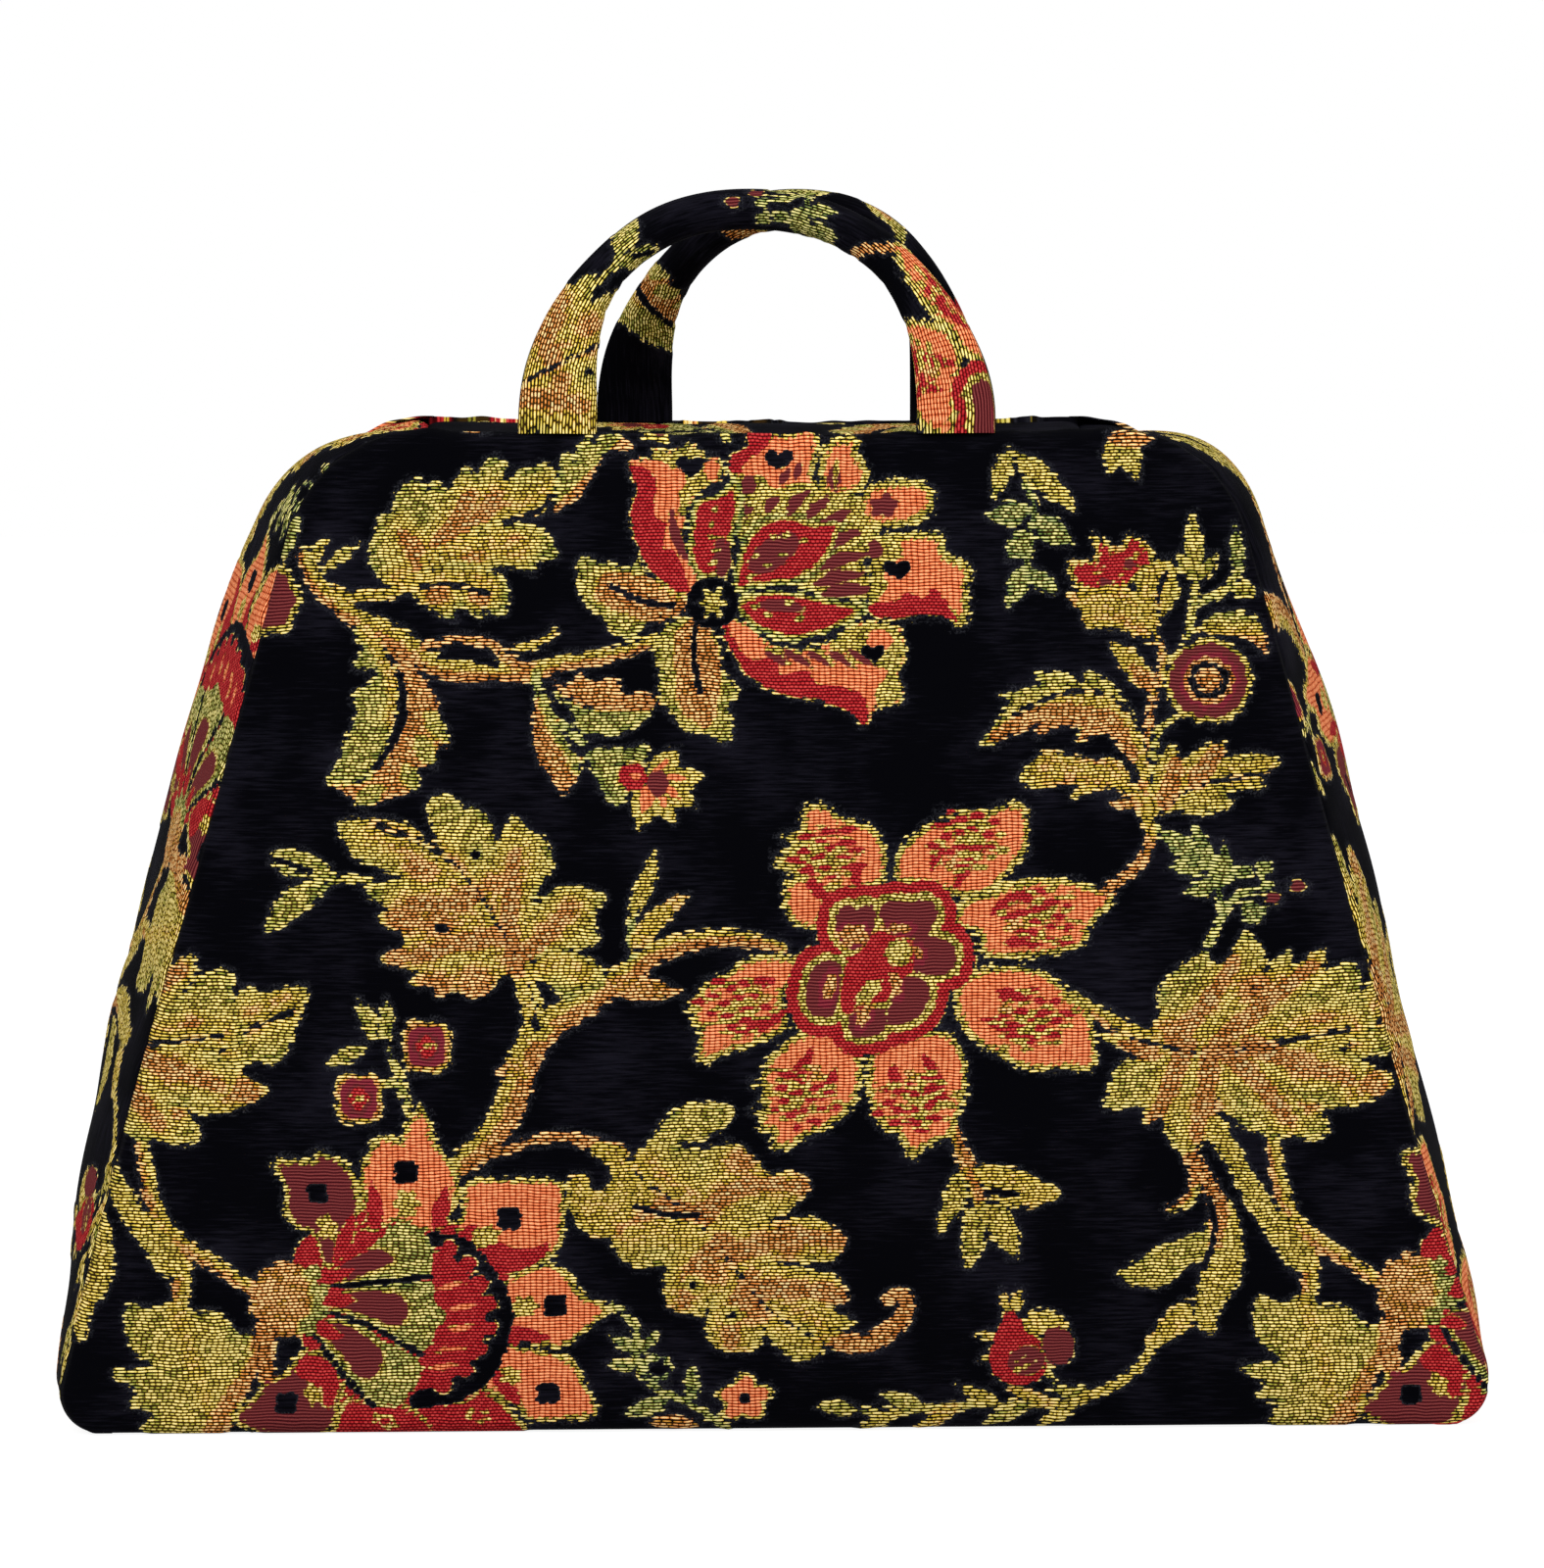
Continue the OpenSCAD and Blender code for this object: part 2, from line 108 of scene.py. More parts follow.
class WeaveColours(PropertyGroup):
    """Colours of the yarns and of the other finishes, and a painted sheen, highlight and shade."""

    ground: colour("Ground", "#030306", "Black chenille ground")
    ground_lit: colour("Ground streak", "#13121a", "Brushed pile of the ground where it catches light")
    olive: colour("Olive", "#b2b23c", "Green end of the gold yarns")
    gold: colour("Gold", "#e4c846", "Gold yarn of leaves and rims")
    satin: colour("Satin gold", "#f6cc34", "Bright floated gold yarn of stems")
    tan: colour("Tan", "#ee8a36", "Orange end of the gold yarns")
    gold_highlight: colour("Gold crest", "#fff0ac", "Gold yarn where a dash is highest and catches light")
    gold_gap: colour("Gold gap", "#33230b", "Shaded yarn between the gold dashes")
    coral: colour("Coral", "#ee7240", "Coral yarn of the petals")
    red: colour("Red", "#aa1a22", "Red yarn of the petals")
    burgundy: colour("Burgundy", "#621f25", "Burgundy yarn of the hearts")
    crimson: colour("Crimson", "#7d1a30", "Crimson yarn of the small buds")
    lining: colour("Lining", "#4c2026", "Cotton lining")
    tape: colour("Zip tape", "#131318", "Woven zip tape")
    brass: colour("Brass", "#b0925a", "Antique brass of the zip")
    board: colour("Board", "#8d7a5c", "Grey board in the base")
    filling: colour("Filling", "#d8d0bc", "Cotton cord in the handles")


# The weave: every motif is laid on a loom that knows where each point of a cloth lies on the repeat

REPEAT_U = 368.0  # mm
REPEAT_V = 372.0  # mm
FAR = 40.0  # mm, the depth of a point that no shape is near
SHAPE_MARGIN = 5  # mm round a shape where its distance is worked out
LINE_MARGIN = 4  # mm, the same round a line or spot
BARE_EXTRA = 2.0  # mm that a bared spot counts as deeper, which keeps the grey border out of it
TONE_MARGIN = 1.2  # mm round a shape that also takes its shade
YARNS = ("gold", "coral", "red", "burgundy")


def smooth(t):
    t = np.clip(t, 0.0, 1.0)
    return t * t * (3.0 - 2.0 * t)


def mix(a, b, t):
    return a + (b - a) * t


def flow(points, closed, steps=5):
    """A smooth line through given points."""
    p = np.array(points, float)
    q = np.vstack([p[-1], p, p[0], p[1]]) if closed else np.vstack([2 * p[0] - p[1], p, 2 * p[-1] - p[-2]])
    t = (np.arange(steps) / steps)[:, None]
    out = [0.5 * (2 * b + (c - a) * t + (2 * a - 5 * b + 4 * c - d) * t ** 2
                  + (3 * b - a - 3 * c + d) * t ** 3) for a, b, c, d in zip(q[:-3], q[1:-2], q[2:-1], q[3:])]
    return np.vstack(out if closed else out + [p[-1:]])


class Loom:
    """Depth in mm of a cloth's points in each yarn's shapes and in the whole pattern, and its shade."""

    def __init__(self, u, v):
        self.u, self.v = u, v
        self.depth = {yarn: np.full(u.shape, -FAR) for yarn in YARNS}
        self.cover = np.full(u.shape, -FAR)
        self.tone = np.full(u.shape, 0.5)

    def near(self, line, margin):
        """The points within a margin of a line's box, and their offsets from its middle."""
        low, high = line.min(0), line.max(0)
        middle, half = (low + high) / 2, (high - low) / 2 + margin
        du = (self.u - middle[0] + REPEAT_U / 2) % REPEAT_U - REPEAT_U / 2
        dv = (self.v - middle[1] + REPEAT_V / 2) % REPEAT_V - REPEAT_V / 2
        at = np.flatnonzero((np.abs(du) < half[0]) & (np.abs(dv) < half[1]))
        return at, du[at] + middle[0], dv[at] + middle[1]

    def lay(self, at, depth, yarn, tone):
        """Lays a yarn where depth is positive, or bares the black ground there when yarn is None."""
        for name, field in self.depth.items():
            field[at] = np.maximum(field[at], depth) if name == yarn else np.minimum(field[at], -depth)
        bare = np.where(depth > 0, -depth - BARE_EXTRA, -depth)
        self.cover[at] = np.maximum(self.cover[at], depth) if yarn else np.minimum(self.cover[at], bare)
        if yarn:
            inside = depth > -TONE_MARGIN
            self.tone[at[inside]] = np.broadcast_to(tone, depth.shape)[inside]

    def shape(self, yarn, tone, *points, inset=0.0, rough=0.0):
        """A closed outline through given points."""
        loop = flow(points, True)
        at, u, v = self.near(loop, SHAPE_MARGIN + max(0.0, -inset))
        if len(at):
            depth = outline_depth(u, v, loop) - inset
            if rough:
                depth = depth + rough * np.sin(u * 2.1 + v * 0.7) * np.sin(v * 1.9 - u * 0.6)
            self.lay(at, depth, yarn, tone(u, v) if callable(tone) else tone)

    def line(self, yarn, tone, *points, w=(1.0, 1.0, 1.0), under=None):
        """A tapered line, its half width given along the way, with its right side in another shade."""
        path = flow(points, False)
        at, u, v = self.near(path, max(w) + LINE_MARGIN)
        if not len(at):
            return
        best, share, side = line_distance(u, v, path)
        half = np.maximum(np.interp(share, np.linspace(0, 1, len(w)), w), 0.8)
        shade = tone if under is None else np.where(side > -0.15 * half, tone, under)
        self.lay(at, half - best, yarn, shade)

    def blade(self, yarn, tone, base, tip, half, bend=0.0, inset=0.0):
        """A slim pointed leaf from its base to its tip."""
        (x0, y0), (x1, y1) = base, tip
        along = np.array([x1 - x0, y1 - y0], float)
        off = np.array([-along[1], along[0]])
        spine = [np.array(base) + along * t + off * bend * 4 * t * (1 - t)
                 for t in (0.0, 0.25, 0.5, 0.75, 1.0)]
        path = flow(spine, False)
        at, u, v = self.near(path, half + LINE_MARGIN)
        if len(at):
            best, share, _ = line_distance(u, v, path)
            width = half * np.sin(np.pi * np.clip(share, 0.02, 0.98) ** 0.8) ** 0.8
            self.lay(at, width - best - inset, yarn, tone)

    def disc(self, yarn, tone, centre, rx, ry=None, turn=0.0, lobes=0, bite=0.25, phase=0.0):
        """A round or oval spot, its edge scalloped into lobes."""
        ry = ry or rx
        reach = max(rx, ry)
        at, u, v = self.near(np.array([centre, centre], float), reach + LINE_MARGIN)
        if not len(at):
            return
        a = math.radians(turn)
        du, dv = u - centre[0], v - centre[1]
        x, y = (du * math.cos(a) + dv * math.sin(a)) / rx, (dv * math.cos(a) - du * math.sin(a)) / ry
        edge = 1.0
        if lobes:
            edge = 1.0 - bite * (1.0 - np.abs(np.cos(lobes * (np.arctan2(y, x) - math.radians(phase)) / 2)))
        self.lay(at, (edge - np.hypot(x, y)) * min(rx, ry), yarn, tone)


def outline_depth(u, v, loop):
    """Distance to a closed line, positive inside it."""
    best = np.full(u.shape, 1e9)
    inside = np.zeros(u.shape, bool)
    for (x0, y0), (x1, y1) in zip(loop, np.roll(loop, -1, 0)):
        ex, ey = x1 - x0, y1 - y0
        px, py = u - x0, v - y0
        t = np.clip((px * ex + py * ey) / max(ex * ex + ey * ey, 1e-9), 0, 1)
        best = np.minimum(best, (px - t * ex) ** 2 + (py - t * ey) ** 2)
        if ey:
            inside ^= ((y0 > v) != (y1 > v)) & (px < ex * py / ey)
    return np.where(inside, 1, -1) * np.sqrt(best)


def line_distance(u, v, path):
    """Distance to an open line, the share of the way along it, and which side a point lies on."""
    best = np.full(u.shape, 1e9)
    share, side = np.zeros(u.shape), np.zeros(u.shape)
    count = len(path) - 1
    for k, ((x0, y0), (x1, y1)) in enumerate(zip(path[:-1], path[1:])):
        ex, ey = x1 - x0, y1 - y0
        px, py = u - x0, v - y0
        size = max(ex * ex + ey * ey, 1e-9)
        t = np.clip((px * ex + py * ey) / size, 0, 1)
        away = np.hypot(px - t * ex, py - t * ey)
        closer = away < best
        best = np.where(closer, away, best)
        share = np.where(closer, (k + t) / count, share)
        side = np.where(closer, (ex * py - ey * px) / math.sqrt(size), side)
    return best, share, side


def leaf(loom, ribs, *points, tone=0.3, warm=0.8, glow=6.0, vein=True, blush=()):
    """A gold leaf: greenish at its edge, warm along its ribs and in spots, a dark line by its main rib."""
    paths = [flow(rib, False) for rib in ribs]

    def shade(u, v):
        near_rib = np.min([line_distance(u, v, path)[0] for path in paths], 0)
        cloud = 0.5 + 0.5 * np.sin(u * 0.33 + 1.3) * np.sin(v * 0.29 + u * 0.11)
        heat = np.exp(-(near_rib / glow) ** 2) * (0.4 + 0.6 * cloud)
        for x, y, r in blush:
            heat = np.maximum(heat, 1.25 * np.exp(-np.hypot(u - x, 1.3 * (v - y)) ** 2 / r ** 2))
        return mix(tone, warm, np.minimum(heat, 1.0))

    loom.shape("gold", shade, *points, rough=0.5)
    for k, rib in enumerate(ribs):
        if vein and k == 0:
            along = np.gradient(np.array(rib, float), axis=0)
            aside = np.stack([along[:, 1], -along[:, 0]], 1) / np.linalg.norm(along, axis=1, keepdims=True)
            loom.line(None, 0, *(np.array(rib) + aside * 1.9), w=(1.0, 0.8, 0.8))
        loom.line("gold", 0.62 if k == 0 else 1.08, *rib, w=(1.6, 1.3, 0.8) if k == 0 else (2.0, 1.5, 0.8))


def petal(loom, points, body, rim=2.2, rim_tone=0.42, tone=0.5):
    """A petal with a gold rim round its body yarn."""
    loom.shape("gold", rim_tone, *points, rough=1.1)
    loom.shape(body, tone, *points, inset=rim, rough=1.3)


def flecks(loom, yarn, tone, centre, reach, count, size=1.7, turn=0.0):
    """Short stitches of a yarn strewn round a place, closer together in its middle."""
    for k in range(count):
        a, r = 2.4 * k + turn, reach * math.sqrt((k + 0.5) / count)
        loom.disc(yarn, tone, (centre[0] + r * math.cos(a), centre[1] + 0.8 * r * math.sin(a)),
                  size * (1 + 0.3 * (k % 3)), size * 0.6)


def eye(loom, centre, r=3.8):
    """The dark square spot of an outer petal."""
    loom.disc(None, 0, centre, r, lobes=4, bite=0.3, phase=45)


def heart_eye(loom, centre, size):
    """The dark heart-shaped spot of a palmette's petal."""
    u, v = centre
    heart = ((0, 1.6), (-2.2, 3.0), (-4.4, 1.4), (-3, -1.2), (0.6, -3.4), (3.4, -1.2), (4.4, 1.6), (2.2, 3.0))
    loom.shape(None, 0, *((u + x * size, v + y * size) for x, y in heart))


def sprig(loom, path, pairs, tone, size, half, w=0.7, spread=42):
    """A thin stem with pointed leaflets to both sides and one at its end."""
    line = flow(path, False)
    loom.line("gold", tone, *path, w=(w, w, w * 0.7))
    for k in range(2 * pairs):
        i = int((0.18 + 0.74 * k / (2 * pairs)) * (len(line) - 1))
        along = line[i + 1] - line[i]
        a = math.atan2(along[1], along[0]) + math.radians(spread if k % 2 else -spread)
        tip = line[i] + size * np.array([math.cos(a), math.sin(a)])
        loom.blade("gold", tone + 0.15 * (k % 3), line[i], tip, half)
    along = (line[-1] - line[-4]) / np.linalg.norm(line[-1] - line[-4])
    loom.blade("gold", tone, line[-1], line[-1] + along * size * 0.8, half)


def palmette(loom):
    """The large open flower under the front handle."""
    loom.shape("gold", 0.35, (-63, 283), (-56, 282), (-47, 280), (-44, 283), (-42, 278), (-33, 273),
               (-27, 270), (-34, 264), (-42, 262), (-46, 258), (-52, 260), (-56, 265), (-62, 271), rough=0.6)
    loom.disc("gold", 0.95, (-43, 271), 14, 6.5, -14, lobes=5, bite=0.15)
    loom.line(None, 0, (-53, 275), (-44, 270), (-33, 268), w=(0.3, 0.9, 0.5))
    loom.shape("gold", 0.35, (-26, 264), (-22, 262), (-18, 254), (-17, 247), (-12, 241), (-15, 236),
               (-14, 229), (-16, 224), (-23, 228), (-29, 228), (-33, 234), (-37, 238), (-37, 246), (-39, 254),
               (-35, 262), rough=0.6)
    loom.disc("gold", 0.95, (-25, 247), 7, 16, 4, lobes=5, bite=0.15)
    loom.line(None, 0, (-26, 261), (-26, 250), (-24, 240), w=(0.9, 0.9, 0.4))
    fan = [(-9, 304), (2, 304), (14, 306), (29, 303), (34, 292), (29, 282), (32, 271), (18, 271), (8, 275),
           (-4, 284), (-12, 290), (-11, 298)]
    loom.shape("gold", 0.4, *fan, rough=0.5)
    for turn, start, end, half in (
            (68, 30, 38, 1.5), (58, 34, 44, 1.7), (49, 38, 49, 1.9), (41, 41, 52, 1.8), (33, 41, 54, 1.9),
            (25, 38, 54, 2.0), (17, 36, 54, 1.9), (10, 34, 52, 1.8), (4, 36, 54, 1.7)):
        c, s = math.cos(math.radians(turn)), math.sin(math.radians(turn))
        loom.blade("burgundy", 0.5, (-20 + start * c, 269 + start * s), (-20 + end * c, 269 + end * s), half,
                   0.06)
    petal(loom, [(-47, 314), (-43, 315), (-39, 315), (-38, 318), (-33, 317), (-28, 320), (-24, 318),
                 (-21, 314), (-18, 315), (-17, 309), (-23, 306), (-27, 301), (-29, 295), (-29, 286),
                 (-25, 276), (-27, 272), (-32, 273), (-39, 279), (-44, 288), (-46, 297), (-44, 306)], "coral",
          rim=0.3)
    loom.shape("red", 0.5, (-47, 313), (-42, 312), (-38, 308), (-39, 298), (-35, 294), (-36, 287), (-32, 285),
               (-29, 278), (-28, 273), (-32, 273.5), (-39, 279), (-44, 288), (-46, 297), (-44, 306))
    loom.blade("burgundy", 0.5, (-28, 282), (-33, 302), 1.8, 0.08)
    loom.shape("gold", 0.45, (-39, 315), (-38, 318), (-33, 317), (-28, 320), (-24, 318), (-21, 314),
               (-18, 315), (-17, 309), (-23, 306), (-27, 301), (-30, 297), (-31, 303), (-31, 309), (-34, 313),
               rough=0.5)
    loom.disc("coral", 0.5, (-31, 309), 2.5, 3.5)
    loom.disc("coral", 0.5, (-20, 312), 2.2, 3.2)
    heart_eye(loom, (-27, 313), 1.0)
    petal(loom, [(-13, 310), (-14, 313), (-8, 319), (-8, 324), (-1, 324), (6, 323), (10, 325), (15, 322),
                 (14, 315), (13, 310), (14, 306), (6, 304), (-2, 303), (-8, 300), (-9, 304)], "coral",
          rim=1.8)
    loom.shape("gold", 0.42, (-13, 309), (-4, 310), (0, 306), (12, 308), (14, 306), (6, 303), (-2, 302),
               (-8, 300), (-9, 304))
    loom.shape("red", 0.5, (-14, 312), (-13, 316), (-8, 319), (-8, 324), (-1, 323), (-2, 319), (-8, 315),
               (-11, 311))
    heart_eye(loom, (2, 315), 1.05)
    loom.blade("burgundy", 0.5, (2, 307), (6, 313), 1.6)
    loom.blade("burgundy", 0.5, (7, 308), (9, 315), 1.5)
    loom.disc("burgundy", 0.5, (-8, 307), 2.2, 3.4)
    petal(loom, [(16, 317), (19, 321), (27, 322), (28, 316), (31, 311), (28, 305), (23, 303), (16, 304),
                 (15, 311)], "coral", rim=2.4)
    loom.disc("burgundy", 0.5, (20, 309), 2.6, 4)
    loom.blade("gold", 0.5, (20, 305), (21, 317), 1.1)
    petal(loom, [(29, 295), (28, 302), (33, 307), (45, 308), (52, 305), (51, 298), (44, 294), (35, 293)],
          "coral", rim=2.4)
    loom.disc("burgundy", 0.5, (36, 300), 5.5, 4.2, 10, lobes=5, bite=0.4)
    petal(loom, [(31, 270), (33, 288), (43, 291), (54, 291), (56, 285), (64, 280), (63, 273), (63, 264),
                 (59, 261), (57, 264), (48, 265), (39, 264), (33, 265)], "coral", rim=2.6)
    loom.shape("gold", 0.45, (31, 271), (33, 287), (40, 289), (42, 284), (36, 280), (37, 274), (34, 270),
               rough=0.6)
    loom.shape("red", 0.5, (31, 268), (38, 269), (44, 272), (48, 270), (52, 273), (57, 267), (60, 261),
               (57, 264), (48, 265), (39, 264), (33, 265))
    heart_eye(loom, (40, 280), 0.95)
    loom.disc("burgundy", 0.5, (33, 286), 2.6, 3, lobes=3, bite=0.3)
    petal(loom, [(-16, 264), (-9, 262), (-2, 256), (8, 253), (19, 257), (26, 262), (33, 262), (40, 261),
                 (42, 252), (40, 246), (41, 238), (33, 236), (29, 230), (23, 235), (14, 238), (3, 240),
                 (-6, 244), (-12, 251), (-16, 258)], "coral", rim=0.4)
    loom.shape("red", 0.5, (-16, 262), (-12, 255), (-8, 251), (0, 251), (2, 246), (10, 247), (14, 243),
               (22, 242), (29, 238), (29, 230), (23, 235), (14, 238), (3, 240), (-6, 244), (-12, 251),
               (-16, 258))
    loom.shape("gold", 0.42, (19, 257), (26, 262), (33, 262), (40, 261), (42, 252), (40, 246), (41, 238),
               (33, 236), (33, 242), (36, 246), (33, 250), (27, 252), (18, 254), rough=0.6)
    loom.disc("coral", 0.5, (34, 257), 4, 3)
    for k in range(5):
        loom.blade("gold", 0.42, (-3 + 7 * k, 255 - k % 2), (7 + 7 * k, 248 - k % 2), 1.6)
        loom.blade("burgundy", 0.5, (-4 + 7 * k, 253.5), (5 + 7 * k, 248), 1.3)
    heart_eye(loom, (32, 253), 0.85)
    inner = (
        ((-20, 276), (-25, 278), (-28, 286), (-27, 295), (-25, 302), (-18, 304), (-13, 308), (-11, 306),
         (-11, 297), (-13, 290), (-15, 282)),
        ((-13, 273), (-12, 282), (-10, 288), (-4, 295), (6, 297), (13, 295), (22, 295), (20, 288), (16, 281),
         (10, 277), (4, 275), (-5, 274)),
        ((-13, 269), (-3, 273), (9, 272), (19, 270), (30, 268), (25, 263), (16, 259), (7, 257), (-2, 259),
         (-9, 263)),
    )
    for points in inner:
        loom.shape("gold", 0.18, *points, rough=0.3)
        loom.shape("red", 0.5, *points, inset=2.0)
    loom.disc("burgundy", 0.5, (-17, 284), 3, 6, 0)
    loom.disc("burgundy", 0.5, (0, 285), 10, 5, 35)
    loom.disc("burgundy", 0.5, (2, 268), 9, 2.2, -4)
    for u, v in ((-19, 299), (-20, 294), (-20, 290), (-19, 286), (-20, 282), (-20, 278), (0, 290), (4, 291),
                 (10, 289), (-6, 284), (3, 284), (-2, 281), (-8, 277), (-6, 268), (-2, 265), (8, 264),
                 (5, 269), (-26, 288)):
        loom.disc("gold", 0.4, (u, v), 1.7, 1.2)
    loom.disc(None, 0, (-20, 269), 8.2)
    loom.disc("gold", 0.4, (-20, 269), 4.8, lobes=6, bite=0.72)


def starflower(loom):
    """The seven-petalled flower in the middle of the front."""
    petals = (
        ((13, 164), (4, 168), (3, 178), (6, 181), (5, 191), (9, 192), (9, 203), (16, 204), (22, 200),
         (32, 196), (36, 187), (34, 179), (24, 176)),
        ((39, 180), (40, 189), (46, 195), (53, 199), (57, 197), (64, 200), (67, 199), (72, 203), (81, 203),
         (82, 190), (77, 183), (70, 176), (61, 174), (50, 178)),
        ((58, 165), (62, 173), (72, 176), (79, 179), (95, 179), (102, 177), (110, 173), (103, 165),
         (101, 159), (94, 156), (82, 154), (68, 155), (66, 162)),
        ((66, 150), (81, 151), (92, 146), (97, 140), (102, 136), (104, 119), (95, 118), (82, 118), (72, 123),
         (65, 127), (59, 136), (59, 144)),
        ((32, 125), (41, 130), (55, 130), (61, 123), (62, 112), (59, 102), (56, 96), (49, 93), (44, 89),
         (40, 97), (36, 98), (31, 107), (30, 117)),
        ((8, 130), (18, 131), (27, 123), (27, 111), (22, 103), (14, 98), (0, 92), (-1, 98), (-5, 99),
         (-4, 107), (-4, 119), (2, 126)),
        ((8, 151), (4, 155), (-8, 155), (-16, 150), (-24, 145), (-27, 135), (-25, 131), (-25, 121),
         (-16, 124), (-3, 128), (4, 133), (2, 142)),
    )
    heart = np.array((36.0, 152.0))
    for k, points in enumerate(petals):
        petal(loom, points, "coral", rim=2.0)
        middle = np.mean(points, 0)
        out = (middle - heart) / np.linalg.norm(middle - heart)
        across = np.array((-out[1], out[0]))
        side = across * (-1) ** k
        loom.blade("red", 0.5, middle - out * 13 + side * 5, middle + side * 7 + out * 6, 2.0, 0.08)
        loom.blade("red", 0.5, middle - out * 12 - side * 5, middle - side * 7 - out * 1, 1.7)
        flecks(loom, "gold", 0.45, middle + out * 2, 13, 26, 2.0, k)
        loom.disc("gold", 0.45, middle + out * 2 + side, 7.4, 4.8, math.degrees(math.atan2(out[1], out[0])),
                  lobes=7, bite=0.35)
        flecks(loom, "red", 0.5, middle + out * 2 - side * 2, 12, 16, 1.5, k + 1.2)
        loom.blade("gold", 0.8, middle - out * 10, middle - out * 4 - side, 1.6)
    hearts = (
        ((20, 169), (23.5, 171.5), (26.5, 170), (29, 172), (32, 169.5), (31, 163), (27, 158), (24, 158),
         (20, 162)),
        ((34, 170.5), (38, 173), (42.5, 172), (49, 173), (52.5, 169), (51, 165), (47.5, 161), (41, 161),
         (36, 164)),
        ((46, 161), (55, 160), (58, 157), (57.5, 151), (52.5, 149), (46, 150), (44, 154)),
        ((40, 148), (48, 147), (50, 143), (47.5, 136.5), (41, 132.5), (36, 134), (38, 140)),
        ((24, 136), (29, 138), (35, 137), (35.5, 131.5), (31, 129), (25, 129.5)),
        ((13, 152), (20, 153), (21, 147), (19, 136.5), (13.5, 135.5), (10.5, 139), (10, 145)),
    )
    for grow, yarn in ((6.2, "red"), (2.9, "gold"), (0.0, "burgundy")):
        for points in hearts:
            loom.shape(yarn, 0.42, *points, inset=-grow, rough=0.3)
    loom.shape("red", 0.5, (24, 154), (28, 157), (33, 163), (38, 161), (44, 160), (44, 150), (40, 147),
               (36, 141), (30, 139), (24, 136), (21, 139), (22, 147))
    for u, v, rx, ry, turn, tone in (
            (40, 156, 5.2, 5.0, 0, 0.45), (30, 143, 7.2, 3.2, 48, 0.42), (25.5, 162, 5.4, 3.8, 0, 0.97),
            (40, 164, 4.2, 2.0, 0, 0.97), (17.5, 145, 2.4, 5.2, -10, 0.97), (39, 146, 2.2, 4.6, 15, 0.95),
            (28.5, 135, 2.4, 4.0, -20, 0.95), (46.5, 155.5, 1.9, 2.8, 0, 0.95)):
        loom.disc("gold", tone, (u, v), rx, ry, turn, lobes=6, bite=0.25)


